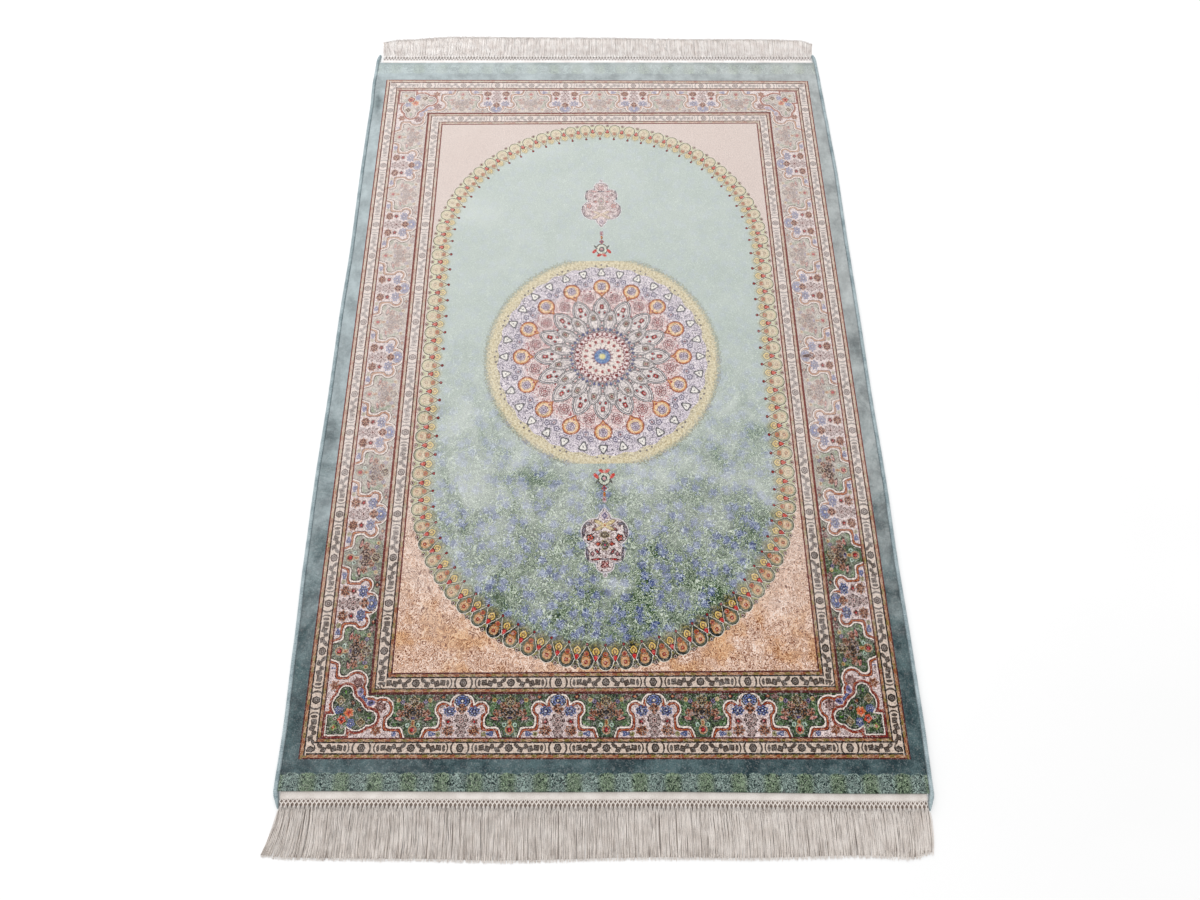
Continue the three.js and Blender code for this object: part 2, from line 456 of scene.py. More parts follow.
    def spot(
        self, below, place, x, y, half_x, half_y, rings, turn=0, petals=0, depth=0.16, spin=0.0, vein=None
    ):
        """An ellipse of rings, or a flower when it has petals."""
        own = self.placed(place, x, y, half_x, half_y, turn)
        reach = self.vector("LENGTH", own)
        if not petals:
            return self.layers(below, reach, rings)
        angle = self.times_plus(self.turns(own), 2 * math.pi * petals, spin)
        wave = self.math("COSINE", angle)
        reach = self.times(reach, self.times_plus(wave, -depth, 1.0 + depth))
        tint = self.layers(below, reach, rings)
        if vein is None:
            return tint
        between = self.map(wave, -0.3, -0.75)
        inside = self.math("COMPARE", reach, 0.62, 0.34)
        return self.mix(self.times(between, inside), tint, vein)

    def spots(self, below, place, flowers):
        """Rows of x, y, half width, half length and rings, then what else spot takes."""
        for x, y, half_x, half_y, rings, *own in flowers:
            more = own[0] if own else {}
            below = self.spot(below, place, x, y, half_x, half_y, rings, **more)
        return below

    def finish(self, tint, values, height=None, strength=0.0, distance=0.0):
        """The shader with its own values, and a bump where a height is given."""
        shader = self.nodes.new("ShaderNodeBsdfPrincipled")
        self.put(shader.inputs["Base Color"], tint)
        for socket, value in values.items():
            shader.inputs[socket].default_value = value
        if height is not None:
            bump = self.nodes.new("ShaderNodeBump")
            bump.inputs["Strength"].default_value = strength
            bump.inputs["Distance"].default_value = distance
            self.put(bump.inputs["Height"], height)
            self.links.new(bump.outputs[0], shader.inputs["Normal"])
        output = self.nodes.new("ShaderNodeOutputMaterial")
        self.links.new(shader.outputs[0], output.inputs[0])
        return self.material


def shaken(cloth, place, seed_place, amount, size):
    """The place moved a little at random, so that no outline is ruler straight."""
    tint = cloth.noise(seed_place, size, colour_out=True)
    moved = cloth.vector("SUBTRACT", tint, (0.5, 0.5, 0.0))
    moved = cloth.vector("SCALE", moved, scale=2 * amount)
    return cloth.vector("ADD", place, moved)


# v of the line where the pile turns from painted sheen to painted shade, and where the painted shade is
# darkest
SHEEN_TO_SHADE_LINE = -230.0
DARKEST_SHADE_LINE = -470.0
# v, then how far painted sheen pales the pile there towards a near white
SHEEN_PALING = [
    (-590, 0.0),
    (-470, 0.02),
    (-380, 0.1),
    (-290, 0.2),
    (-210, 0.33),
    (-130, 0.4),
    (-50, 0.46),
    (250, 0.52),
    (597, 0.5),
]
# Patches of crushed pile, painted as paler or darker sheen: u, v, half width, half length, turn, paler or
# darker
CRUSHED_PILE_SHEEN_MARKS = [
    (130, -207, 46, 24, -8, -0.22),
    (222, -122, 34, 20, 12, -0.2),
    (160, -150, 34, 15, -25, -0.12),
    (-105, -190, 80, 15, 2, -0.16),
    (-2, -214, 20, 42, 0, -0.16),
    (30, -305, 75, 40, -15, -0.08),
    (-185, -205, 60, 34, 30, 0.12),
    (72, -188, 62, 30, 10, 0.14),
    (-190, -312, 60, 42, 35, 0.12),
    (-82, -368, 26, 17, 10, 0.14),
    (8, -338, 34, 13, -5, 0.22),
    (225, -330, 60, 52, 0, 0.12),
    (110, -350, 110, 60, 0, -0.09),
    (-210, 268, 60, 34, -20, 0.08),
    (-120, 395, 70, 40, 10, 0.06),
    (388, 18, 14, 26, 0, -0.16),
    (-389, 500, 12, 30, 0, -0.3),
    (-389, 545, 20, 70, 0, -0.06),
    (-389, -140, 14, 110, 0, -0.12),
    (388, 130, 14, 90, 0, 0.12),
    (388, 500, 20, 90, 0, 0.05),
    (-389, 92, 10, 26, 0, -0.1),
    (388, -360, 14, 60, 0, 0.06),
]


def paint_sheen(cloth, plan):
    """Painted sheen: how pale the pile is painted, by the place along the rug, a little by the side, and in
    soft blotches.
    """
    across, along = cloth.parts(plan)
    share = cloth.map(along, -NEAR_END, FAR_END)
    greys = {(v + NEAR_END) / (NEAR_END + FAR_END): (amount, amount, amount, 1.0) for v, amount in SHEEN_PALING}
    node = cloth.plain_ramp(share, greys)
    # Painted light: the pile is painted a little paler towards the left side
    painted_sheen = cloth.times_plus(across, -0.00008, node.outputs["Color"])
    # Soft blotches of crushed pile, shown as painted sheen, strongest about the line where sheen turns to
    # shade
    sheen_mottle = cloth.noise(plan, 58, detail=4.5, rough=0.68, distort=0.6)
    blotch = cloth.map(sheen_mottle, 0.32, 0.68, -1.0, 1.0)
    away = cloth.math("ABSOLUTE", cloth.minus(along, SHEEN_TO_SHADE_LINE))
    strength = cloth.map(away, 110, 260, 0.15, 0.035, smooth=True)
    painted_sheen = cloth.times_plus(blotch, strength, painted_sheen)
    for u, v, half_u, half_v, turn, amount in CRUSHED_PILE_SHEEN_MARKS:
        reach = cloth.vector("LENGTH", cloth.placed(plan, u, v, half_u, half_v, turn))
        painted_sheen = cloth.math("ADD", painted_sheen, cloth.map(reach, 1.3, 0.1, 0.0, amount, smooth=True))
    return cloth.math("MAXIMUM", painted_sheen, 0.0, clamp=True)


KNOT_SIZE = 1.6
STROKE_SIZE = 2.9
PILE_SHADER = {"Roughness": 0.6, "Specular IOR Level": 0.2, "Sheen Weight": 0.3, "Sheen Roughness": 0.4}


def begin(zone):
    """A zone's cloth, the place in the whole plan, and how far painted sheen pales the pile there."""
    cloth = Cloth(f"pile_{zone}")
    plan = cloth.attribute("plan")
    return cloth, plan, paint_sheen(cloth, plan)


def finish_pile(cloth, plan, tint, painted_sheen, sheen_share, sheen_tint, busy=0.0, dark_sheen_share=None, ground=None):
    """Knots, painted shade and painted sheen over a pattern's colour, then the shader."""
    drawn = 1.0
    if ground is not None:
        # Where the zone shows its neighbour's ground, painted sheen pales it as it pales the neighbour
        ground_tint, ground_sheen_share, ground_sheen_tint = ground
        drawn = cloth.map(cloth.vector("DISTANCE", tint, ground_tint), 0.0, 0.1)
        change = cloth.minus(sheen_share, ground_sheen_share)
        sheen_share = cloth.times_plus(change, drawn, ground_sheen_share)
        sheen_tint = cloth.mix(drawn, ground_sheen_tint, sheen_tint)
        busy = cloth.times(drawn, busy)
    share = cloth.times(painted_sheen, sheen_share)
    if dark_sheen_share is not None:
        # Painted shade: the tint is darkened towards the near end, and outlines, reds and blues take less
        # of the painted sheen
        _, along = cloth.parts(plan)
        node = cloth.nodes.new("ShaderNodeGamma")
        cloth.put(node.inputs["Color"], tint)
        painted_near_shade = cloth.map(along, SHEEN_TO_SHADE_LINE, DARKEST_SHADE_LINE, 0.2, 0.55)
        cloth.put(node.inputs["Gamma"], cloth.times_plus(painted_near_shade, drawn, 1.0))
        tint = node.outputs[0]
        node = cloth.nodes.new("ShaderNodeSeparateColor")
        cloth.put(node.inputs[0], tint)
        redness = cloth.minus(node.outputs[0], node.outputs[1])
        darkness = cloth.map(cloth.math("MAXIMUM", node.outputs[1], node.outputs[2]), 0.03, 0.008)
        darkness = cloth.times(darkness, drawn)
        share = cloth.times(share, cloth.map(darkness, 0.0, 1.0, 1.0, dark_sheen_share))
        redness = cloth.times(redness, drawn)
        share = cloth.times(share, cloth.map(redness, 0.08, 0.34, 1.0, 0.4))
        blueness = cloth.minus(node.outputs[2], node.outputs[0])
        blueness = cloth.times(blueness, drawn)
        share = cloth.times(share, cloth.map(blueness, 0.1, 0.3, 1.0, 0.45))
        sheen_tint = cloth.mix(darkness, sheen_tint, "8c5c52")
    if busy:
        # Single knots of a darker or a lighter yarn along every outline
        strokes = cloth.noise(plan, STROKE_SIZE, detail=1.0, distort=1.2)
        shade = cloth.times(cloth.map(strokes, 0.47, 0.34, 0.0, 0.72), busy)
        bright = cloth.times(cloth.map(strokes, 0.55, 0.68, 0.0, 0.5), busy)
        tint = cloth.vector("SCALE", tint, scale=cloth.minus(1.0, shade))
        tint = cloth.mix(bright, tint, "efe9e6")
    knots = cloth.noise(plan, KNOT_SIZE, detail=1.0)
    value = cloth.map(knots, 0.28, 0.72, 0.62, 1.0)
    tint = cloth.vector("SCALE", tint, scale=value)
    # A named colour is as the eye sees it by the lamps, so the yarn is darker
    tint = cloth.vector("SUBTRACT", tint, (0.012, 0.012, 0.012))
    tint = cloth.vector("MAXIMUM", tint, (0.002, 0.002, 0.002))
    # Painted sheen: the tint mixed towards a pale colour
    tint = cloth.mix(share, tint, sheen_tint)
    return cloth.finish(tint, PILE_SHADER, knots, strength=0.35, distance=0.6 * MM)


def curls(cloth, plan, size, count, distort=1.4, detail=1.0):
    """A net of fine curling lines: 0 along one set of lines, 0.5 along the other."""
    noise = cloth.noise(plan, size, detail=detail, distort=distort)
    return cloth.math("PINGPONG", cloth.times(noise, count), 0.5)


def margin_material():
    cloth, plan, painted_sheen = begin("margin")
    across, along = cloth.parts(plan)
    cloudy = cloth.noise(plan, 34, detail=5, rough=0.7)
    tint = cloth.mix(cloth.map(cloudy, 0.36, 0.66), "margin", "margin_light")
    # Painted sheen, paler and darker in the same clouds as the tone
    cloudy_sheen = cloth.map(cloudy, 0.36, 0.66, -0.09, 0.09)
    painted_sheen = cloth.times_plus(cloudy_sheen, cloth.map(painted_sheen, 0.05, 0.3), painted_sheen, clamp=True)
    past = cloth.minus(cloth.math("ABSOLUTE", along), OUTER_LINE_V + ORNAMENT_START)
    lines = curls(cloth, plan, 5.0, 3.6, detail=0.7)
    blocks = cloth.math("COSINE", cloth.times(across, 2 * math.pi / BLOCK_PERIOD))
    greener = cloth.map(blocks, -0.6, 0.8, 0.15, 0.75, smooth=True)
    dark = cloth.mix(greener, "1e3234", "223422")
    light = cloth.mix(greener, "a2b6b2", "8ea27a")
    drawn = cloth.mix(cloth.map(lines, 0.14, 0.42), dark, light)
    reach = cloth.times_plus(cloth.math("ABSOLUTE", blocks), 2.2, past)
    reach = cloth.times_plus(lines, 3.0, reach)
    tint = cloth.mix(cloth.map(reach, 1.6, 2.6), tint, drawn)
    foot = cloth.map(past, 20.4, 21.4)
    tint = cloth.mix(cloth.times(foot, 0.7), tint, "2c4642")
    # The painted sheen's pale colour, a little different from left to right
    sheen_tint = cloth.mix(cloth.map(across, -390, 390), "ced9dc", "d6d9d8")
    return finish_pile(cloth, plan, tint, painted_sheen, 0.96, sheen_tint, busy=0.2)


def guard_material():
    cloth, plan, painted_sheen = begin("guard")
    place = shaken(cloth, cloth.attribute("motif"), plan, 0.5, 2.6)
    along, across = cloth.parts(place)
    share = cloth.math("DIVIDE", across, GUARD_WIDTH)
    stops = {
        0.0: "dark_red",
        1.7 / GUARD_WIDTH: "cable",
        5.0 / GUARD_WIDTH: "dark",
        7.2 / GUARD_WIDTH: "cream",
        18.6 / GUARD_WIDTH: "dark",
        20.6 / GUARD_WIDTH: "cable",
        23.5 / GUARD_WIDTH: "dark_red",
    }
    tint, _ = cloth.ramp(share, stops)
    # The two cables: blocks of colour along them, with long slanting strokes
    from_cream = cloth.math("ABSOLUTE", cloth.minus(across, 12.9))
    in_cable = cloth.math("COMPARE", from_cream, 9.15, 1.5)
    blocks = cloth.math("FRACT", cloth.math("DIVIDE", along, BLOCK_PERIOD))
    band, _ = cloth.ramp(
        blocks,
        {0.0: "d6b296", 0.2: "c08a68", 0.36: "b7a36c", 0.52: "dcc0a4", 0.7: "b3a26c", 0.86: "c9a07c"},
    )
    slant = cloth.times_plus(from_cream, 3.6, along)
    stroke = cloth.math("SINE", cloth.times(slant, 2 * math.pi / 9.4))
    dashed = cloth.mix(cloth.map(stroke, 0.3, 0.85, 0.0, 0.65), band, "6c4a30")
    tint = cloth.mix(in_cable, tint, dashed)
    # The cream band's flowers
    fold = cloth.math("PINGPONG", along, MOTIF_PERIOD / 2)
    spot = cloth.join(fold, across)
    ink = {0.2: "b8aca4", 0.42: "grey_brown", 0.54: "b5aaa2", 0.8: "grey", 1.0: "grey_brown"}
    leaf = {0.26: "grey_brown", 0.42: "a0948c", 1.0: "grey"}
    flowers = [
        (0, 13, 5.4, 5.0, ink, dict(petals=8, depth=0.06)),
        (9.6, 15.6, 4.2, 2.4, leaf, dict(turn=-35)),
        (14.4, 11.2, 4.6, 3.8, leaf, dict(turn=28, petals=4, depth=0.16)),
        (20.8, 15.0, 2.8, 3.2, leaf),
        (26.4, 12.2, 4.8, 4.5, leaf, dict(turn=-25, petals=4, depth=0.18)),
        (34.0, 13.4, 4.2, 4.6, leaf, dict(turn=40, petals=4, depth=0.16)),
        (42.8, 13, 3.4, 5.6, {1.0: "grey"}),
        (41.0, 13, 3.2, 5.8, {1.0: "cream"}),
        (40.4, 12.8, 2.0, 4.0, leaf),
        (51.6, 13, 3.4, 5.8, {1.0: "grey"}),
        (53.8, 13, 3.0, 6.0, {1.0: "cream"}),
        (60.3, 13, 5.0, 5.4, ink, dict(petals=6, depth=0.05)),
    ]
    tint = cloth.spots(tint, spot, flowers)
    return finish_pile(cloth, plan, tint, painted_sheen, 0.9, "e8dedb", busy=0.4, dark_sheen_share=1.0)


def border_green(cloth, plan, painted_sheen):
    """The main border's green, full of small leaves, which painted sheen pales to a sandy sage."""
    lines = curls(cloth, plan, 4.6, 4.0)
    dyes = {0.0: "0f1c15", 0.12: "233a2c", 0.24: "466448", 0.38: "66825c", 0.5: "a3b58a"}
    tint, _ = cloth.ramp(lines, dyes, soft=True)
    dyes = {0.0: "6c5c50", 0.14: "a8988a", 0.24: "d8cfc0", 0.5: "e6dfd2"}
    sheen_paled, _ = cloth.ramp(lines, dyes, soft=True)
    return cloth.mix(cloth.times(painted_sheen, 1.7, clamp=True), tint, sheen_paled), lines


OUTLINE = {
    0.0: None,
    0.06: "green_dark",
    0.15: "edging",
    0.33: "rust_dark",
    0.38: "rust",
    0.47: "rust_light",
    0.58: "rust",
    0.63: "burgundy",
    0.69: "white_pink",
}
# The outline's colours as painted sheen pales them
SHEEN_PALED_OUTLINE = {
    0.0: "2c1c14",
    0.14: "e6ddd4",
    0.33: "c9a890",
    0.4: "d8b898",
    0.58: "2c1c14",
    0.67: "f4eae6",
}


def cartouche(cloth, tint, from_white, across, lobes, lines, painted_sheen):
    """The white cartouche's outline and ground, over the green."""
    spot = cloth.join(from_white, across)
    base = cloth.math(
        "SMOOTH_MAX",
        cloth.minus(cloth.times_plus(across, 0.35, from_white), 50.5),
        cloth.minus(across, 12.0),
        5.0,
    )
    body = cloth.math("MAXIMUM", cloth.minus(from_white, 28.7), cloth.minus(across, 39.0))
    white = cloth.math("SMOOTH_MIN", base, body, 9.0)
    white = cloth.with_lobes(white, spot, lobes)
    share = cloth.map(white, 2.0, -8.0)
    ring, cover = cloth.ramp(share, OUTLINE)
    # The outline as painted sheen pales it, mixed in where the sheen is strong
    sheen_paled, _ = cloth.ramp(share, SHEEN_PALED_OUTLINE)
    ring = cloth.mix(cloth.map(painted_sheen, 0.2, 0.5, 0.0, 0.6), ring, sheen_paled)
    tint = cloth.mix(cover, tint, ring)
    inside = cloth.math("GREATER_THAN", share, 0.72)
    drawn = cloth.times(cloth.map(lines, 0.2, 0.08), inside)
    return cloth.mix(cloth.times(drawn, 0.85), tint, "64242c"), spot


# Centre u and v, half width, half length
STAIN = (310.0, 0.0, 10.0, 3.4)
# The flowers' rings: how far out each ends, and its colour
FLOWER_BLUE = {0.14: "e6e6f2", 0.3: "navy", 0.5: "blue", 0.62: "blue_pale", 0.82: "navy", 1.0: "8e9cc8"}
FLOWER_RUST = {0.16: "5c221c", 0.3: "dcb090", 0.44: "7e2f1e", 0.58: "c48a68", 0.74: "6c2a1c", 1.0: "c9a088"}
FLOWER_WINE = {0.16: "4c1a1e", 0.3: "e0c0ba", 0.46: "5e2428", 0.6: "c9a29c", 0.78: "64282c", 1.0: "b08c86"}
FLOWER_DARK = {0.16: "2c1c16", 0.3: "d6c6a8", 0.46: "2c1c16", 0.6: "b0966e", 0.8: "2c1c16", 1.0: "c9ba98"}


def main_material():
    cloth, plan, painted_sheen = begin("main_border")
    place = shaken(cloth, cloth.attribute("motif"), plan, 0.75, 2.6)
    along, across = cloth.parts(place)
    fold = cloth.math("PINGPONG", along, MOTIF_PERIOD / 2)
    green_spot = cloth.join(fold, across)
    green, lines = border_green(cloth, plan, painted_sheen)
    tint = green
    # Inside the green: leaves and a fan of flowers either side of the axis
    scroll = {0.3: "8fae6c", 0.5: "2f4a34", 1.0: "86a27c"}
    bouquet = {0.3: "4a2a20", 0.42: "b89a78", 0.56: "3a1c18", 0.7: "a8866a", 0.84: "42241e", 1.0: "9c8a6c"}
    flowers = [
        (25.5, 32, 3.0, 8.6, scroll, dict(turn=-22)),
        (27, 16.5, 7.0, 2.4, scroll, dict(turn=16)),
        (20.8, 38.0, 2.4, 5.6, scroll, dict(turn=18)),
        (0, 29.5, 15.0, 10.0, bouquet, dict(petals=9, depth=0.1, vein="2a1a16")),
        (18.5, 22.2, 7.6, 2.6, {0.3: "a8403c", 0.6: "e2b3a8", 1.0: "3c1a1a"}, dict(turn=14)),
        (16, 28.5, 6.0, 5.0, FLOWER_RUST, dict(turn=30, petals=5, vein="2c1412")),
        (8.0, 38.0, 5.4, 4.6, FLOWER_RUST, dict(turn=10, petals=5, vein="2c1412")),
        (0, 43.0, 7.6, 7.0, FLOWER_DARK, dict(petals=6, depth=0.2, spin=3.1, vein="241812")),
        (14.5, 42.5, 3.8, 3.6, {0.4: "navy", 0.7: "a89ab8", 1.0: "3a3f58"}, dict(petals=4)),
        (19.8, 44.5, 2.8, 2.8, {0.5: "b0702c", 1.0: "cdbc8a"}),
        (27.5, 47.5, 5.0, 4.0, FLOWER_WINE, dict(petals=5, vein="2c1412")),
        (36.5, 48.2, 4.4, 3.4, {0.3: "dcb48a", 0.6: "a0582c", 1.0: "3c2018"}, dict(petals=4)),
        (0, 22.8, 5.2, 3.4, {0.3: "7c68a4", 0.7: "2e2c5c", 1.0: "b8a8a0"}, dict(petals=3, spin=1.5)),
        (0, 9, 6.8, 7.0, {0.34: "c9352f", 0.52: "6c2420", 0.8: "c9a888", 1.0: "7c9484"}),
        (0, 17.2, 2.4, 4.2, {0.6: "b87c38", 1.0: "c9b48a"}),
        (6.6, 14.6, 3.2, 3.4, {0.34: "22383c", 0.8: "c3d6c6", 1.0: "4d6c60"}),
    ]
    tint = cloth.spots(tint, green_spot, flowers)
    # Where painted sheen pales the border, its flowers sink into the green
    tint = cloth.mix(cloth.map(painted_sheen, 0.2, 0.5, 0.0, 0.2), tint, green)
    # The white cartouche and its flowers
    from_white = cloth.minus(MOTIF_PERIOD / 2, fold)
    lobes = [(23.6, 33.0, 10.2, 3.5), (2.6, 39.6, 12.4, 1.5)]
    tint, white_spot = cartouche(cloth, tint, from_white, across, lobes, lines, painted_sheen)
    lattice = {
        0.16: "4a2224", 0.3: "d9bcb8", 0.44: "5e3230", 0.56: "d8c8c4", 0.7: "4e3830", 0.82: "cbb4b0",
        1.0: "5c3a38",
    }
    crown = {
        0.14: "edging", 0.3: "navy", 0.5: "7a90cc", 0.62: "navy", 0.74: "aebbe2", 0.93: "navy",
        1.0: "edging",
    }
    flowers = [
        (0, 20.0, 9.0, 9.6, lattice, dict(petals=8, depth=0.1, vein="d2bfbc")),
        (0, 6.6, 7.0, 6.6, lattice, dict(petals=6, depth=0.12, vein="d2bfbc")),
        (16, 8, 8.4, 7.2, FLOWER_RUST, dict(petals=7, depth=0.16, vein="3c1614")),
        (16, 18.6, 5.0, 4.4, {0.34: "d0323c", 0.7: "6a2c2a", 1.0: "b08c84"}, dict(petals=5)),
        (15.4, 31, 8.4, 6.4, FLOWER_BLUE, dict(petals=7, depth=0.14, vein="navy")),
        (0, 43.5, 11.4, 8.6, crown, dict(petals=11, depth=0.05, vein="navy")),
        (0, 33.8, 7.0, 6.6, FLOWER_RUST, dict(petals=4, depth=0.14, vein="3c1614")),
        (36.5, 4.2, 5.4, 3.4, FLOWER_BLUE, dict(petals=3, depth=0.2)),
        (28.2, 4.0, 3.2, 3.0, {0.5: "7f7a48", 1.0: "b4ad88"}),
    ]
    tint = cloth.spots(tint, white_spot, flowers)
    # A small dark stain on the right side
    tint = cloth.spot(tint, plan, *STAIN, {0.7: "241c2c", 1.0: "6c5468"}, turn=8)
    return finish_pile(cloth, plan, tint, painted_sheen, 0.8, "eadcda", busy=0.7, dark_sheen_share=0.8)


def corner_material():
    cloth, plan, painted_sheen = begin("corner")
    place = shaken(cloth, cloth.attribute("motif"), plan, 0.75, 2.6)
    first, second = cloth.parts(place)
    near = cloth.math("MINIMUM", first, second)
    far = cloth.math("MAXIMUM", first, second)
    tint, lines = border_green(cloth, plan, painted_sheen)
    green = tint
    from_white = cloth.minus(far, 47.3)
    lobes = [(21.5, 34.5, 14.5, 3.0), (6.0, 36.0, 14.0, 2.0)]
    tint, _ = cartouche(cloth, tint, cloth.math("ABSOLUTE", from_white), near, lobes, lines, painted_sheen)
    spot = cloth.join(near, far)
    flowers = [
        (9, 64, 7.4, 7.0, FLOWER_RUST, dict(petals=6, depth=0.24)),
        (37.0, 67, 8.0, 8.0, FLOWER_WINE, dict(turn=35, petals=7, depth=0.2)),
        (41.5, 55.5, 3.4, 5.0, {0.4: "navy", 1.0: "9a94b8"}, dict(turn=-20)),
        (43.5, 47.0, 4.6, 3.4, FLOWER_BLUE, dict(turn=45)),
    ]
    tint = cloth.spots(tint, spot, flowers)
    # The leaf that fills the corner
    leaf = cloth.math("MAXIMUM", cloth.minus(3.4, near), cloth.minus(far, 27.0))
    lobes = [(23.0, 40.0, 14.2, 2.0), (23.5, 54.5, 8.4, 2.5), (30.0, 31.0, 16.6, 1.0)]
    leaf = cloth.with_lobes(leaf, spot, lobes)
    share = cloth.map(leaf, 6.0, -4.0)
    bands = {
        0.0: None,
        0.12: "rust_light",
        0.2: "rust",
        0.42: "burgundy",
        0.47: "edging",
        0.62: "green_dark",
        0.72: "3f6546",
    }
    ring, cover = cloth.ramp(share, bands)
    tint = cloth.mix(cover, tint, ring)
    inside = cloth.math("GREATER_THAN", share, 0.73)
    tint = cloth.mix(inside, tint, green)
    flowers = [
        (13, 12, 5.0, 4.6, {0.3: "e8c8a0", 0.6: "b8402c", 1.0: "a9b97a"}, dict(petals=5)),
        (13, 23, 5.2, 4.6, {0.3: "2c3a62", 0.5: "d9d2c0", 0.75: "2c3c3c", 1.0: "9db38c"}, dict(petals=4)),
        (
            21.5,
            21.5,
            6.8,
            6.8,
            {0.3: "6c1814", 0.55: "c8402e", 0.8: "e08a5c", 1.0: "5c2a1c"},
            dict(petals=5),
        ),
        (29.5, 29.5, 6.4, 6.4, {0.25: "a8303e", 0.6: "dc7a48", 1.0: "e0a27a"}, dict(petals=6)),
        (17, 33, 6.2, 5.0, FLOWER_BLUE, dict(petals=5)),
        (18, 45, 5.6, 5.6, FLOWER_DARK, dict(petals=4)),
        (23.5, 55, 2.4, 5.4, {0.5: "leaf", 1.0: "2f5a34"}),
        (33.5, 42, 3.2, 4.8, {0.5: "a0702c", 1.0: "2c4434"}, dict(turn=30)),
    ]
    tint = cloth.spots(tint, spot, flowers)
    return finish_pile(cloth, plan, tint, painted_sheen, 0.8, "eadcda", busy=0.7, dark_sheen_share=0.8)


# How far painted sheen pales the zone, and towards which colour
SPANDREL_SHEEN = (0.75, "ddd5d1")
FIELD_SHEEN = (1.0, "dbdfdc")
# The field's clumps of flowers
CLUMP_PITCH = 20.0
CLUMP_RADIUS = 7.2


def spandrel_tint(cloth, plan):
    """Peach ground under a net of fine curling lines and ochre clouds."""
    _, along = cloth.parts(plan)
    clouds = cloth.noise(plan, 42, detail=2.5, rough=0.6)
    cloudy = cloth.times(cloth.map(clouds, 0.44, 0.6), cloth.map(along, -300, -400))
    lines = curls(cloth, plan, 7.0, 3.0, distort=1.8, detail=0.5)
    dyes = {0.0: "5c2c1c", 0.09: "905c42", 0.15: "d8ae92", 0.3: "e6bca2", 0.4: "f4d8c6", 0.5: "fdece2"}
    drawn, _ = cloth.ramp(lines, dyes, soft=True)
    ochre = cloth.mix(1.0, drawn, "e6be6c", blend="MULTIPLY")
    drawn = cloth.mix(cloth.times(cloudy, 0.55), drawn, ochre)
    # Painted sheen: towards the far end the drawing gives way to a plain pale peach
    sheen_washout = cloth.map(along, 250, -380, 0.85, 0.0)
    return cloth.mix(sheen_washout, drawn, "d5c2ba")


def spandrel_material():
    cloth, plan, painted_sheen = begin("spandrel")
    return finish_pile(cloth, plan, spandrel_tint(cloth, plan), painted_sheen, *SPANDREL_SHEEN)


def field_tint(cloth, plan):
    """Celadon full of small curling leaves, with loose clumps of periwinkle flowers."""
    _, along = cloth.parts(plan)
    lines = curls(cloth, plan, 5.8, 3.2, distort=1.6, detail=0.7)
    dyes = {0.0: "1e2a1a", 0.14: "3a5032", 0.32: "5c784e", 0.38: "94a688", 0.46: "dce4d4"}
    green, _ = cloth.ramp(lines, dyes, soft=True)
    dyes = {0.0: "1e2858", 0.16: "424e8c", 0.34: "6a76a8", 0.42: "a8b2d2", 0.5: "ccd4e4"}
    blue, _ = cloth.ramp(lines, dyes, soft=True)
    reach = cloth.times(cloth.cells(plan, CLUMP_PITCH, 0.9), CLUMP_PITCH / CLUMP_RADIUS)
    uneven = cloth.map(cloth.noise(plan, 3.4, detail=1.5, distort=0.8), 0.3, 0.7, 0.4, 1.7)
    reach = cloth.times(reach, uneven)
    tint = cloth.mix(cloth.map(reach, 1.1, 0.5, 0.0, 0.85), green, blue)
    # Painted sheen: towards the far end the field is painted a paler grey green
    return cloth.mix(cloth.map(along, -250, 60, 0.0, 0.7), tint, "90a69c")


def field_material():
    cloth, plan, painted_sheen = begin("field")
    return finish_pile(cloth, plan, field_tint(cloth, plan), painted_sheen, *FIELD_SHEEN)


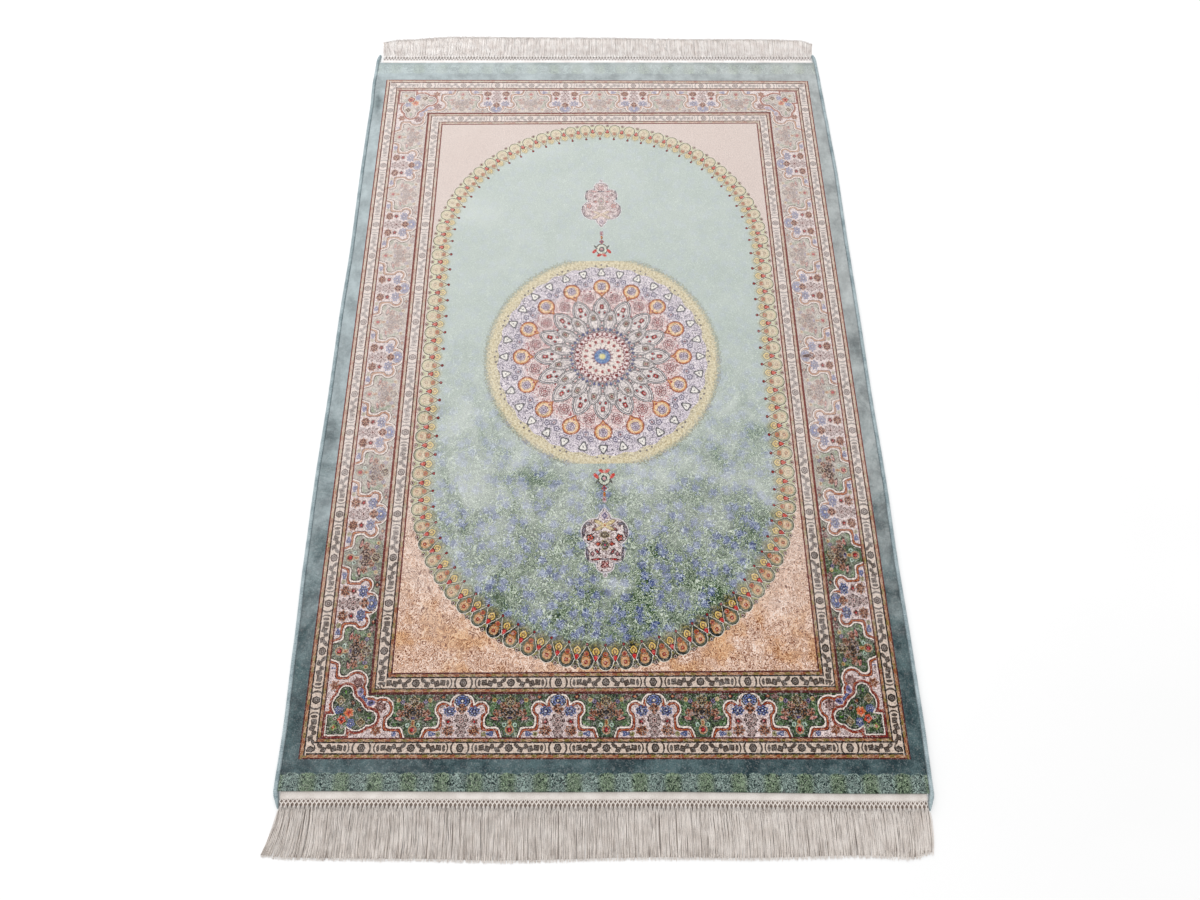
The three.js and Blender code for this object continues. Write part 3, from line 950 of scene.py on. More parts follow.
def ring_material():
    cloth, plan, painted_sheen = begin("ring")
    inner = field_tint(cloth, plan)
    outer = spandrel_tint(cloth, plan)
    place = shaken(cloth, cloth.attribute("motif"), plan, 0.4, 2.2)
    around, inwards = cloth.parts(place)
    phase = cloth.math("PINGPONG", cloth.math("DIVIDE", around, RING_PITCH), 0.5)
    across = cloth.times(phase, RING_PITCH)
    spot = cloth.join(across, inwards)
    # The green gold ground fades into the field
    grain = cloth.noise(plan, 3.6, detail=1)
    gold, _ = cloth.ramp(grain, {0.3: "242c12", 0.43: "52501e", 0.56: "887e34", 0.7: "b4a658"}, soft=True)
    # Painted sheen pales the gold and carries the field further into it
    gold = cloth.mix(cloth.times(painted_sheen, 1.75, clamp=True), gold, "d2d2a8")
    fade = cloth.times_plus(cloth.math("COSINE", cloth.times(phase, 2 * math.pi)), 3.0, inwards)
    reach = cloth.times_plus(painted_sheen, 14.0, fade)
    tint = cloth.mix(cloth.map(reach, 25.0, 37.0, smooth=True), gold, inner)
    outside = cloth.math("LESS_THAN", cloth.times_plus(phase, 7.0, inwards), 3.3)
    tint = cloth.mix(outside, tint, outer)
    outer_side = cloth.math("LESS_THAN", inwards, 14.0)
    ground = (
        cloth.mix(outer_side, inner, outer),
        cloth.map(outer_side, 0.0, 1.0, FIELD_SHEEN[0], SPANDREL_SHEEN[0]),
        cloth.mix(outer_side, FIELD_SHEEN[1], SPANDREL_SHEEN[1]),
    )
    # Between the drops: a red heart with yellow tulip petals
    half = RING_PITCH / 2
    tulip = {0.3: "e6c888", 0.5: "8c6420", 0.78: "ecd284", 1.0: "4c481a"}
    flowers = [
        (half, 21.8, 6.4, 7.8, tulip, dict(petals=3, depth=0.1)),
        (
            half, 14.2, 4.0, 5.0, {0.62: "dc4a28", 0.85: "a0201a", 1.0: "2c100e"},
            dict(petals=3, depth=0.1, spin=1.5),
        ),
        (half, 1.6, 2.9, 2.8, {0.5: "6c1418", 0.72: "e8dad2", 1.0: "4a2a26"}),
    ]
    tint = cloth.spots(tint, spot, flowers)
    # The drop: white edge, dark outline, peach blossom, red heart
    bulb = cloth.outside(spot, 0.0, 9.4, 10.0)
    neck = cloth.times_plus(inwards, 0.6, cloth.minus(across, 17.6))
    neck = cloth.math("MAXIMUM", neck, cloth.minus(10.0, inwards))
    drop = cloth.math("SMOOTH_MIN", bulb, neck, 2.0)
    share = cloth.map(drop, 1.2, -8.8)
    drop_rings = {
        0.0: None, 0.04: "f4f0e6", 0.12: "0c1610", 0.23: "24422a", 0.42: "7c6c2c", 0.5: "c08448",
        0.62: "e6b480",
    }
    ring, cover = cloth.ramp(share, drop_rings)
    # The drop as painted sheen pales it
    sheen_paled, _ = cloth.ramp(
        share, {0.0: "ece6da", 0.1: "1c2014", 0.21: "c9c89c", 0.36: "dccba4", 0.5: "e6cdb0"}
    )
    ring = cloth.mix(cloth.times(painted_sheen, 1.7, clamp=True), ring, sheen_paled)
    tint = cloth.mix(cover, tint, ring)
    tint = cloth.spot(tint, spot, 0, 18.6, 4.6, 4.2, {0.5: "b0542c", 0.8: "cc8a50", 1.0: "54501e"})
    # The blossom, and a copy paled by painted sheen, blended by the painted sheen
    blossom = {0.2: "e0a878", 0.44: "b4301a", 0.54: "8c4424", 0.7: "ecc8a0", 0.8: "b88c64", 1.0: "e6c098"}
    blossom_unpaled = cloth.spot(tint, spot, 0, 8.4, 5.8, 5.6, blossom, petals=5, depth=0.08)
    blossom = {0.24: "d9bfa0", 0.44: "b08c70", 0.56: "e3d2b4", 0.7: "ead8bc", 0.8: "c4a888", 1.0: "e6d2b4"}
    blossom_sheen_paled = cloth.spot(tint, spot, 0, 8.8, 6.8, 6.4, blossom, petals=5, depth=0.08)
    tint = cloth.mix(cloth.map(painted_sheen, 0.15, 0.42), blossom_unpaled, blossom_sheen_paled)
    tint = cloth.spot(tint, spot, 0, 30.4, 2.3, 2.3, {0.65: "a81c26", 1.0: "4c1214"})
    return finish_pile(cloth, plan, tint, painted_sheen, 0.8, "e2dece", busy=0.6, dark_sheen_share=0.8, ground=ground)


def petal(cloth, tint, edge, outline, lines):
    """A pale petal of the medallion: nested outlines, then fine grey lines inside."""
    band, cover = cloth.ramp(cloth.map(edge, 1.0, -9.0), outline)
    tint = cloth.mix(cover, tint, band)
    fine = cloth.times(cloth.map(lines, 0.17, 0.07), cloth.math("LESS_THAN", edge, -2.4))
    return cloth.mix(cloth.times(fine, 0.55), tint, "84747c")


def medallion_material():
    cloth, plan, painted_sheen = begin("medallion")
    field = field_tint(cloth, plan)
    ground = (field, *FIELD_SHEEN)
    place = shaken(cloth, plan, plan, 0.4, 2.4)
    reach = cloth.vector("LENGTH", place)
    step = math.pi / MEDALLION_AXES
    fold = cloth.math("PINGPONG", cloth.times(cloth.turns(place), 2 * math.pi), step)
    even_across = cloth.times(cloth.math("SINE", fold), reach)
    even_up = cloth.times(cloth.math("COSINE", fold), reach)
    even = cloth.join(even_across, even_up)
    other = cloth.minus(step, fold)
    odd_across = cloth.times(cloth.math("SINE", other), reach)
    odd_up = cloth.times(cloth.math("COSINE", other), reach)
    odd = cloth.join(odd_across, odd_up)
    # The yellow halo, soft outside and lobed inside
    grain = cloth.noise(plan, 3.4, detail=1)
    halo, _ = cloth.ramp(grain, {0.3: "c9ba90", 0.6: "e9dfbe"}, soft=True)
    ragged = cloth.times_plus(cloth.noise(plan, 3.0, detail=2.0), 16.0, cloth.minus(reach, 8.0))
    halo = cloth.mix(cloth.map(ragged, 180.0, 168.0, smooth=True), field, halo)
    # The disc
    lines = curls(cloth, plan, 5.0, 4.0)
    lilac, _ = cloth.ramp(lines, {0.0: "2c2440", 0.1: "6c5a86", 0.19: "dccfe0", 0.3: "fbf2f6"}, soft=True)
    lobed = cloth.times_plus(cloth.math("COSINE", cloth.times(fold, 2.0 * MEDALLION_AXES)), 1.6, reach)
    tint = cloth.mix(cloth.math("LESS_THAN", lobed, 157.0), halo, lilac)
    rosy, _ = cloth.ramp(lines, {0.0: "981c2c", 0.1: "c45c64", 0.2: "eed2d0", 0.3: "fdf0ec"}, soft=True)
    tint = cloth.mix(cloth.map(reach, 126.0, 114.0), tint, rosy)
    tint = cloth.spot(tint, even, 9.0, 160.0, 1.6, 1.6, {1.0: "5c4a4a"})
    tint = cloth.spot(tint, even, 0.0, 162.0, 1.5, 1.5, {1.0: "5c4a4a"})
    wedge = {0.16: "4a4450", 0.66: "fcf8f0", 1.0: "2c2844"}
    tint = cloth.spot(tint, odd, 0, 147.0, 7.6, 9.0, wedge, petals=3, depth=0.24, spin=1.57)
    tint = cloth.spot(tint, even, 0, 147.0, 7.6, 9.0, wedge, petals=3, depth=0.24, spin=-1.57)
    bud = {0.3: "9a5464", 0.55: "ecdee2", 0.8: "5c5276", 1.0: "d8cadb"}
    rose = {
        0.14: "e9c9c4", 0.28: "a82a38", 0.42: "ecdcd8", 0.56: "a8404c", 0.7: "e8dad6", 0.84: "a85c64",
        1.0: "e4d6d4",
    }
    flowers = [
        (8.5, 134.0, 5.0, 5.0, {0.3: "4a3c68", 0.6: "e4dcea", 1.0: "5c4e76"}, dict(petals=5)),
        (0, 128.0, 5.4, 7.0, bud, dict(petals=5, vein="5c5276")),
        (0, 103, 11.0, 11.0, rose, dict(petals=7, depth=0.14, vein="8c4048")),
    ]
    tint = cloth.spots(tint, odd, flowers)
    # Pointed arches with nested grey outlines, on the even axes
    arch = cloth.math(
        "MAXIMUM",
        cloth.outside(even, -14.0, 80.0, 27.4),
        cloth.minus(60.0, even_up),
    )
    outline = {
        0.0: None, 0.03: "28242e", 0.13: "f4f0f0", 0.19: "9c96a0", 0.27: "28242e", 0.37: "f8eeea",
        0.55: "8c808a", 0.66: "f8eeea",
    }
    tint = petal(cloth, tint, arch, outline, lines)
    fleur = {0.25: "e8c8c0", 0.6: "c0242c", 0.8: "4a2a3a", 1.0: "c8bcb4"}
    tint = cloth.spot(tint, even, 0, 86.0, 5.6, 6.4, fleur, petals=3, depth=0.22)
    tint = cloth.spot(tint, even, 4.2, 76.0, 2.6, 3.4, {0.5: "c0242c", 1.0: "5c4650"})
    # Kites between them
    kite = cloth.outside(odd, -17.0, 61.0, 26.6)
    kite = cloth.math("MAXIMUM", kite, cloth.minus(odd_up, 80.0))
    outline = {
        0.0: None, 0.03: "28242e", 0.13: "f0ecec", 0.2: "34303a", 0.29: "f8eeea", 0.46: "8c808a",
        0.57: "f8eeea",
    }
    tint = petal(cloth, tint, kite, outline, lines)
    kernel = {0.2: "d9a0a0", 0.45: "7c2c28", 0.65: "c9b89c", 1.0: "5f4a40"}
    tint = cloth.spot(tint, odd, 0, 67, 5.2, 7.4, kernel, petals=5, depth=0.16)
    kernel = {0.3: "b02430", 0.5: "e0d0c8", 0.75: "2c3468", 1.0: "3c4648"}
    tint = cloth.spot(tint, even, 0, 48.5, 4.4, 6.4, kernel, petals=3, depth=0.18)
    # Buds between the hub and the kites
    tint = cloth.spot(tint, odd, 3.4, 46.5, 2.2, 3.6, {0.6: "34469c", 1.0: "2c2844"})
    # The orange drops
    drop = cloth.outside(even, 0.0, 121.5, 13.0)
    neck = cloth.times_plus(even_up, -0.62, cloth.math("ADD", even_across, 63.6))
    neck = cloth.math("MAXIMUM", neck, cloth.minus(even_up, 116.0))
    drop = cloth.math("SMOOTH_MIN", drop, neck, 2.0)
    share = cloth.map(drop, 1.0, -9.0)
    band, cover = cloth.ramp(share, {0.0: None, 0.03: "b05c14", 0.23: "e8a458", 0.38: "f6d8b0"})
    tint = cloth.mix(cover, tint, band)
    heart = {0.26: "5c3868", 0.42: "e6dcea", 0.6: "643468", 0.78: "efe2e6", 0.92: "84406c", 1.0: "f4dcc4"}
    tint = cloth.spot(tint, even, 0, 122.5, 7.8, 8.6, heart, petals=5, depth=0.1, vein="8c6c8c")
    tint = cloth.spot(tint, even, 0, 110.5, 1.9, 1.9, {1.0: "b84818"})
    # The hub
    hub = cloth.times_plus(cloth.math("COSINE", cloth.times(fold, 2.0 * MEDALLION_AXES)), 1.4, reach)
    share = cloth.math("DIVIDE", hub, 50.0)
    tint = cloth.layers(tint, share, {0.64: "f4e6de", 0.68: "a03440", 0.8: "f4e4e2", 0.85: "8c3446"})
    tint = cloth.spot(tint, even, 0, 25.5, 2.2, 3.0, {1.0: "b84c48"})
    tint = cloth.spot(tint, odd, 0, 37.5, 2.4, 2.6, {1.0: "98202e"})
    tint = cloth.spot(tint, even, 0, 36.5, 1.5, 2.2, {1.0: "98202e"})
    share = cloth.math("DIVIDE", reach, 20.0)
    tint = cloth.layers(
        tint, share, {0.22: "e6dc8a", 0.32: "9fb6c8", 0.6: "6c92c4", 0.66: "8c4a6c", 0.84: "f0e2dc"}
    )
    tint = cloth.spot(tint, odd, 0, 14.4, 1.2, 2.4, {1.0: "8c2c48"})
    busy = cloth.map(reach, 166.0, 158.0, 0.1, 0.8)
    return finish_pile(cloth, plan, tint, painted_sheen, 0.4, "e2dcdc", busy=busy, dark_sheen_share=0.5, ground=ground)


def pendant_material():
    cloth, plan, painted_sheen = begin("pendant")
    field = field_tint(cloth, plan)
    ground = (field, *FIELD_SHEEN)
    place = shaken(cloth, plan, plan, 0.45, 2.2)
    across, along = cloth.parts(place)
    fold = cloth.math("ABSOLUTE", cloth.minus(across, 0.8))
    out = cloth.math("ABSOLUTE", along)
    spot = cloth.join(fold, out)
    # The shield: a point, wide shoulders, a waist and a long point
    shield = cloth.outside(spot, 13.5, 268.0, 18.5)
    lobes = [
        (14.0, 297.0, 12.5, 4.0),
        (0.0, 285.0, 20.0, 2.0),
        (0.0, 247.0, 8.0, 7.0),
        (0.0, 237.0, 2.0, 6.0),
        (3.0, 314.0, 8.5, 4.0),
        (0.0, 327.0, 1.8, 6.0),
    ]
    shield = cloth.with_lobes(shield, spot, lobes)
    share = cloth.map(shield, 2.0, -8.0)
    ring, cover = cloth.ramp(share, {0.0: None, 0.08: "efe8ea", 0.2: "565064", 0.27: "f4e8e6"})
    tint = cloth.mix(cover, field, ring)
    lines = curls(cloth, plan, 4.6, 3.0)
    inside = cloth.math("LESS_THAN", shield, -1.0)
    grey = {0.34: "a49cac", 0.7: "5c566a", 1.0: "3c364a"}
    flowers = [
        (28.5, 266.0, 2.6, 11.0, grey, dict(turn=-10)),
        (24.0, 298.0, 2.2, 10.0, grey, dict(turn=6)),
        (22.0, 256.5, 5.0, 2.4, grey, dict(turn=-12)),
    ]
    tint = cloth.spots(tint, spot, flowers)
    drawn = cloth.times(cloth.map(lines, 0.24, 0.12), inside)
    tint = cloth.mix(drawn, tint, "6c1c1c")
    fiery = {0.36: "8c2410", 0.66: "e0602c", 1.0: "3c1410"}
    lily = {0.3: "f0e2c0", 0.8: "dcc898", 1.0: "8c7048"}
    rose = {0.3: "ecc8c4", 0.5: "b0303c", 0.7: "e0b0ac", 1.0: "8c2c38"}
    flowers = [
        (20.0, 276.0, 6.0, 6.4, fiery, dict(petals=5, vein="5c1c14")),
        (9.5, 284.5, 4.6, 3.4, {0.5: "d8602c", 1.0: "7c2c1c"}, dict(petals=4)),
        (14.0, 264.0, 4.6, 2.0, {0.5: "a03c3c", 1.0: "5c2430"}, dict(turn=35)),
        (10.5, 295.0, 5.6, 2.2, {0.4: "c04448", 1.0: "54243c"}, dict(turn=-50)),
        (17.0, 298.0, 3.4, 4.0, {0.4: "d8b0b0", 0.7: "8c3c4c", 1.0: "3c2838"}, dict(petals=4)),
        (12.0, 305.5, 8.0, 1.7, {0.5: "c8342c", 1.0: "6c1c1c"}, dict(turn=6)),
        (0, 272.0, 8.4, 5.4, FLOWER_DARK, dict(petals=7, depth=0.14, vein="2c201c")),
        (0, 286.0, 6.6, 8.4, FLOWER_DARK, dict(petals=6, depth=0.14, vein="243038")),
        (0, 286.0, 2.6, 3.4, {0.5: "c85474", 1.0: "3c5a5c"}),
        (7.6, 255.0, 8.4, 3.0, lily, dict(turn=-28)),
        (7.0, 262.4, 7.6, 2.6, lily, dict(turn=26)),
        (0, 258.5, 3.4, 3.2, {0.4: "b8642c", 1.0: "e6d2a8"}),
        (0, 245.0, 4.4, 5.6, {0.35: "b8a0b8", 0.75: "34306c", 1.0: "b9a6c4"}, dict(petals=4)),
        (0, 312.5, 6.0, 7.0, rose, dict(petals=5, vein="6c1c28")),
    ]
    tint = cloth.spots(tint, spot, flowers)
    # Painted sheen pales the shield's inside
    tint = cloth.mix(cloth.times(cloth.map(painted_sheen, 0.3, 0.5, 0.0, 0.5), inside), tint, "ecd8d6")
    # The small lantern between shield and medallion
    flowers = [
        (0, 191.5, 9.6, 11.0, {0.22: "e0b0b4", 0.46: "2c4a44", 0.82: "dfe4d4", 1.0: "4c4a34"}),
        (11.5, 187.8, 2.6, 4.8, {1.0: "d8442a"}, dict(turn=40)),
        (9.5, 195.5, 1.5, 4.6, {1.0: "3c4c34"}, dict(turn=-35)),
        (4.0, 180.5, 4.4, 2.6, {0.7: "d8442a", 1.0: "e09080"}, dict(turn=-30)),
        (0, 206.0, 3.8, 4.2, {0.5: "54346c", 1.0: "b4545c"}, dict(petals=4)),
        (0, 214.5, 1.8, 3.8, {1.0: "c9822c"}),
        (0, 222.0, 3.8, 5.0, {0.5: "a03448", 1.0: "b9a4ac"}, dict(petals=3)),
    ]
    tint = cloth.spots(tint, spot, flowers)
    return finish_pile(cloth, plan, tint, painted_sheen, 0.3, "e4dcda", busy=0.7, dark_sheen_share=0.4, ground=ground)


# The pile

ZONES = [
    ("margin", margin_material),
    ("guard", guard_material),
    ("main", main_material),
    ("corner", corner_material),
    ("spandrel", spandrel_material),
    ("field", field_material),
    ("ring", ring_material),
    ("medallion", medallion_material),
    ("pendant", pendant_material),
]
ZONE = {name: i for i, (name, _) in enumerate(ZONES)}


def grid_lines(marks, step):
    marks = sorted(set(marks))
    lines = []
    for low, high in zip(marks, marks[1:]):
        count = max(1, math.ceil((high - low) / step - 1e-6))
        lines.extend(low + (high - low) * i / count for i in range(count))
    lines.append(marks[-1])
    return np.array(lines)


def oval_table():
    """Points along a quarter of the oval's outer curve, with their motif count."""
    angle = np.linspace(0, math.pi / 2, 1500)
    x = OVAL_HALF_WIDTH * np.sin(angle)
    y = OVAL_STRAIGHT + OVAL_END * np.cos(angle)
    length = np.concatenate([[0], np.cumsum(np.hypot(np.diff(x), np.diff(y)))])
    count = length / length[-1] * RING_MOTIFS_END
    side_y = np.linspace(OVAL_STRAIGHT, -40, 700)[1:]
    side_count = RING_MOTIFS_END + (OVAL_STRAIGHT - side_y) / OVAL_STRAIGHT * RING_MOTIFS_SIDE
    x = np.concatenate([x, np.full(len(side_y), OVAL_HALF_WIDTH)])
    y = np.concatenate([y, side_y])
    return x, y, np.concatenate([count, side_count])


def oval_place(u, v):
    """Motif count along the oval and the distance inwards from its outer curve."""
    curve_x, curve_y, count = oval_table()
    u, v = np.abs(u), np.abs(v)
    nearest = np.empty(len(u), int)
    distance = np.empty(len(u))
    for i in range(0, len(u), 2000):
        part = slice(i, i + 2000)
        gap = np.hypot(u[part, None] - curve_x[None], v[part, None] - curve_y[None])
        nearest[part] = gap.argmin(axis=1)
        distance[part] = gap.min(axis=1)
    over = np.maximum(v - OVAL_STRAIGHT, 0)
    inside = (u / OVAL_HALF_WIDTH) ** 2 + (over / OVAL_END) ** 2 < 1
    return count[nearest], np.where(inside, distance, -distance)


def pile_relief(u, v):
    """Small unevenness of the pile's top, in millimetres below full height."""
    waves = np.sin(u / 37 + 1.3 * np.sin(v / 61)) * np.sin(v / 47 + 1.1 * np.cos(u / 53))
    ripples = np.sin(u / 11.3 + v / 17.9) * np.sin(v / 9.7 - u / 23)
    edge = np.minimum(HALF_WIDTH - np.abs(u), np.minimum(FAR_END - v, v + NEAR_END))
    return 0.18 + 0.14 * waves + 0.04 * ripples + 0.25 * np.exp(-edge / 4)


EDGE_INSET = 1.4
# The pile's rounded edge: how far out of the inset line, and its height there
EDGE_ROUND = [
    (0.75, PILE_THICKNESS - 0.45),
    (1.25, PILE_THICKNESS - 1.2),
    (EDGE_INSET, PILE_THICKNESS - 2.4),
    (EDGE_INSET, 0.2),
]
# How long the pattern's corner is drawn, and how long it lies along a side and an end
CORNER_DRAWN = 107.6
CORNER_SIDE = 109.5
CORNER_END = 105.7


def build_pile():
    u_marks = [0.0]
    v_marks = [0.0, -NEAR_END, FAR_END]
    for side in (-1, 1):
        u_marks.append(side * HALF_WIDTH)
        u_marks += [side * (OUTER_LINE_U - t) for t in (0, GUARD_WIDTH, CORNER_REACH + GUARD_WIDTH)]
        u_marks += [side * (OUTER_LINE_U - t) for t, _ in INNER_GUARD]
        v_marks.append(side * (OUTER_LINE_V + ORNAMENT_START))
        v_marks += [side * (OUTER_LINE_V - t) for t in (0, GUARD_WIDTH, CORNER_REACH + GUARD_WIDTH)]
        v_marks += [side * (OUTER_LINE_V - t) for t, _ in INNER_GUARD]
        v_marks.append(side * OVAL_STRAIGHT)
    us = grid_lines(u_marks, 4.4)
    vs = grid_lines(v_marks, 4.6)
    columns, rows = len(us), len(vs)
    u, v = np.meshgrid(us, vs)
    u, v = u.ravel(), v.ravel()
    x, y = on_rug(u, v)
    # Beyond the outer line the grid runs out to the cloth's real edge
    for side in (-1, 1):
        line_x, _ = on_rug(np.full_like(v, side * OUTER_LINE_U), v)
        share = np.clip((side * u - OUTER_LINE_U) / (HALF_WIDTH - OUTER_LINE_U), 0, 1)
        edge = long_edge_x(side, y) - side * EDGE_INSET
        x = np.where(share > 0, line_x * (1 - share) + edge * share, x)
    for end, limit in ((-1, NEAR_END), (1, FAR_END)):
        _, line_y = on_rug(u, np.full_like(u, end * OUTER_LINE_V))
        share = np.clip((end * v - OUTER_LINE_V) / (limit - OUTER_LINE_V), 0, 1)
        edge = short_edge_y(end, x) - end * EDGE_INSET
        y = np.where(share > 0, line_y * (1 - share) + edge * share, y)
    z = PILE_THICKNESS - pile_relief(u, v)
    top = np.stack([x, y, z], 1)
    index = np.arange(rows * columns).reshape(rows, columns)
    quads = np.stack([index[:-1, :-1], index[:-1, 1:], index[1:, 1:], index[1:, :-1]], -1).reshape(-1, 4)
    # The rounded edge and the underside
    loop = np.concatenate([index[0, :], index[1:, -1], index[-1, -2::-1], index[-2:0:-1, 0]])
    on_side = np.sign(u[loop]) * (np.abs(u[loop]) > HALF_WIDTH - 0.1)
    on_end = np.where(v[loop] > FAR_END - 0.1, 1, np.where(v[loop] < 0.1 - NEAR_END, -1, 0))
    outwards = np.stack([on_side, on_end], 1)
    points = [top]
    faces = [quads]
    previous = loop
    count = len(top)
    for out, height in EDGE_ROUND:
        ring = top[loop].copy()
        ring[:, :2] += outwards * out
        ring[:, 2] = height
        current = np.arange(count, count + len(loop))
        after = np.roll(np.arange(len(loop)), -1)
        faces.append(np.stack([previous, current, current[after], previous[after]], 1))
        points.append(ring)
        count += len(loop)
        previous = current
    points = np.concatenate(points)
    plan = np.zeros((len(points), 3))
    plan[:, 0] = np.concatenate([u] + [u[loop]] * len(EDGE_ROUND))
    plan[:, 1] = np.concatenate([v] + [v[loop]] * len(EDGE_ROUND))
    quad_faces = np.concatenate(faces)
    mesh = bpy.data.meshes.new("pile")
    polygons = quad_faces.tolist() + [previous[::-1].tolist()]
    mesh.from_pydata((points * MM).tolist(), [], polygons)
    colour_pattern(mesh, quad_faces, plan)
    return new_piece("pile", mesh, "pile_cloth")


def as_drawn(value, real):
    """A length in the corner, changed past the border's width to the drawn length."""
    width = MAIN_END - GUARD_WIDTH
    beyond = width + (value - width) * (CORNER_DRAWN - width) / (real - width)
    return np.where(value > width, beyond, value)


def colour_pattern(mesh, quads, plan):
    """Zones, and the pattern coordinates that the materials read."""
    corner = plan[quads]
    middle = corner.mean(axis=1)
    p = OUTER_LINE_U - np.abs(middle[:, 0])
    q = OUTER_LINE_V - np.abs(middle[:, 1])
    depth = np.minimum(p, q)
    on_end = q < p
    side_p = OUTER_LINE_U - np.abs(corner[..., 0])
    end_q = OUTER_LINE_V - np.abs(corner[..., 1])
    across = np.where(on_end[:, None], end_q, side_p)
    along = np.where(on_end[:, None], corner[..., 0], corner[..., 1] + MOTIF_PERIOD / 2)
    motif = np.zeros(corner.shape)
    zone = np.full(len(quads), ZONE["margin"])
    # Guards
    inner_from = [row[0] for row in INNER_GUARD]
    inner_to = [row[1] for row in INNER_GUARD]
    guard = (depth > 0) & (depth < GUARD_WIDTH)
    inner = (depth > MAIN_END) & (depth < FIELD_START)
    motif[guard] = np.stack([along, across, 0 * across], -1)[guard]
    motif[inner] = np.stack([along, np.interp(across, inner_from, inner_to), 0 * across], -1)[inner]
    zone[guard | inner] = ZONE["guard"]
    # Main border, and its corners
    main = (depth > GUARD_WIDTH) & (depth < MAIN_END)
    motif[main] = np.stack([along, across - GUARD_WIDTH, 0 * across], -1)[main]
    zone[main] = ZONE["main"]
    corners = main & (np.maximum(p, q) < CORNER_REACH + GUARD_WIDTH)
    first = as_drawn(side_p - GUARD_WIDTH, CORNER_SIDE)
    second = as_drawn(end_q - GUARD_WIDTH, CORNER_END)
    motif[corners] = np.stack([first, second, 0 * first], -1)[corners]
    zone[corners] = ZONE["corner"]
    # The field and what lies in it
    field = depth > FIELD_START
    flat = corner.reshape(-1, 3)
    count, inwards = oval_place(flat[:, 0], flat[:, 1])
    count = count.reshape(corner.shape[:2])
    inwards = inwards.reshape(corner.shape[:2])
    zone[field] = np.where(inwards.mean(axis=1) > 0, ZONE["field"], ZONE["spandrel"])[field]
    ring = field & (inwards.max(axis=1) > -3.0) & (inwards.min(axis=1) < RING_INSIDE)
    motif[ring] = np.stack([count * RING_PITCH, inwards, 0 * inwards], -1)[ring]
    zone[ring] = ZONE["ring"]
    across_u, along_v = np.abs(middle[:, 0]), np.abs(middle[:, 1])
    zone[(across_u < MEDALLION_REACH) & (along_v < MEDALLION_REACH)] = ZONE["medallion"]
    pendant = (across_u < PENDANT_HALF) & (along_v > PENDANT_START) & (along_v < PENDANT_END)
    zone[pendant] = ZONE["pendant"]
    # Onto the mesh
    loops = len(mesh.loops)
    values = np.zeros((loops, 3), np.float32)
    values[: motif.shape[0] * 4] = motif.reshape(-1, 3)
    mesh.attributes.new("motif", "FLOAT_VECTOR", "CORNER").data.foreach_set("vector", values.ravel())
    flat_plan = plan.astype(np.float32).ravel()
    mesh.attributes.new("plan", "FLOAT_VECTOR", "POINT").data.foreach_set("vector", flat_plan)
    slots = np.full(len(mesh.polygons), ZONE["margin"], np.int32)
    slots[: len(zone)] = zone
    for _, make in ZONES:
        mesh.materials.append(make())
    mesh.polygons.foreach_set("material_index", slots)


def new_piece(name, mesh, node):
    mesh.update()
    mesh.polygons.foreach_set("use_smooth", np.ones(len(mesh.polygons), bool))
    piece = bpy.data.objects.new(name, mesh)
    bpy.context.scene.collection.objects.link(piece)
    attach(piece, "root")
    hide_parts(node)
    return piece


# Yarn pieces


def yarn_material(name, dark, light, size, sheen=0.2, roughness=0.7):
    """Twisted yarn: fine streaks between two tones, and small ridges."""
    cloth = Cloth(name)
    place = cloth.nodes.new("ShaderNodeTexCoord").outputs["Object"]
    fine = cloth.noise(place, size, detail=2)
    broad = cloth.noise(place, size * 14, detail=2)
    share = cloth.times_plus(broad, 0.6, cloth.times(fine, 0.6))
    tint, _ = cloth.ramp(share, {0.42: dark, 0.75: light}, soft=True)
    values = {"Roughness": roughness, "Specular IOR Level": 0.3, "Sheen Weight": sheen}
    return cloth.finish(tint, values, fine, strength=0.4, distance=0.4 * MM)


def tubes(paths, radii, sides):
    """Many tubes as one mesh. paths is (count, stations, 3), radii (count, stations)."""
    count, stations, _ = paths.shape
    tangent = np.gradient(paths, axis=1)
    tangent /= np.linalg.norm(tangent, axis=2, keepdims=True)
    level = np.cross(tangent, np.array([0, 0, 1.0]))
    level /= np.maximum(np.linalg.norm(level, axis=2, keepdims=True), 1e-9)
    upright = np.cross(level, tangent)
    angle = np.arange(sides) / sides * 2 * math.pi
    ring = level[:, :, None] * np.cos(angle)[
        None, None, :, None,
    ] + upright[:, :, None] * np.sin(angle)[None, None, :, None]
    points = paths[:, :, None] + ring * radii[:, :, None, None]
    index = np.arange(count * stations * sides).reshape(count, stations, sides)
    around = np.roll(index, -1, axis=2)
    quads = np.stack([index[:, :-1], around[:, :-1], around[:, 1:], index[:, 1:]], -1).reshape(-1, 4)
    return points.reshape(-1, 3), quads, index


def tube_mesh(name, paths, radii, sides, material):
    points, quads, index = tubes(paths, radii, sides)
    points[:, 2] = np.maximum(points[:, 2], 0.05)
    caps = np.concatenate([index[:, 0, :], index[:, -1, ::-1]])
    mesh = bpy.data.meshes.new(name)
    mesh.from_pydata((points * MM).tolist(), [], quads.tolist() + caps.tolist())
    mesh.materials.append(material)
    return mesh


def ribbon_mesh(name, points, mirrored, material):
    """A closed ribbon round (stations, sides, 3) points."""
    index = np.arange(points.shape[0] * points.shape[1]).reshape(points.shape[:2])
    around = np.roll(index, -1, axis=1)
    quads = np.stack([index[:-1], index[1:], around[1:], around[:-1]], -1).reshape(-1, 4)
    caps = [index[0].tolist(), index[-1, ::-1].tolist()]
    if mirrored:
        quads = quads[:, ::-1]
        caps = [cap[::-1] for cap in caps]
    mesh = bpy.data.meshes.new(name)
    mesh.from_pydata((points.reshape(-1, 3) * MM).tolist(), [], quads.tolist() + caps)
    mesh.materials.append(material)
    return mesh


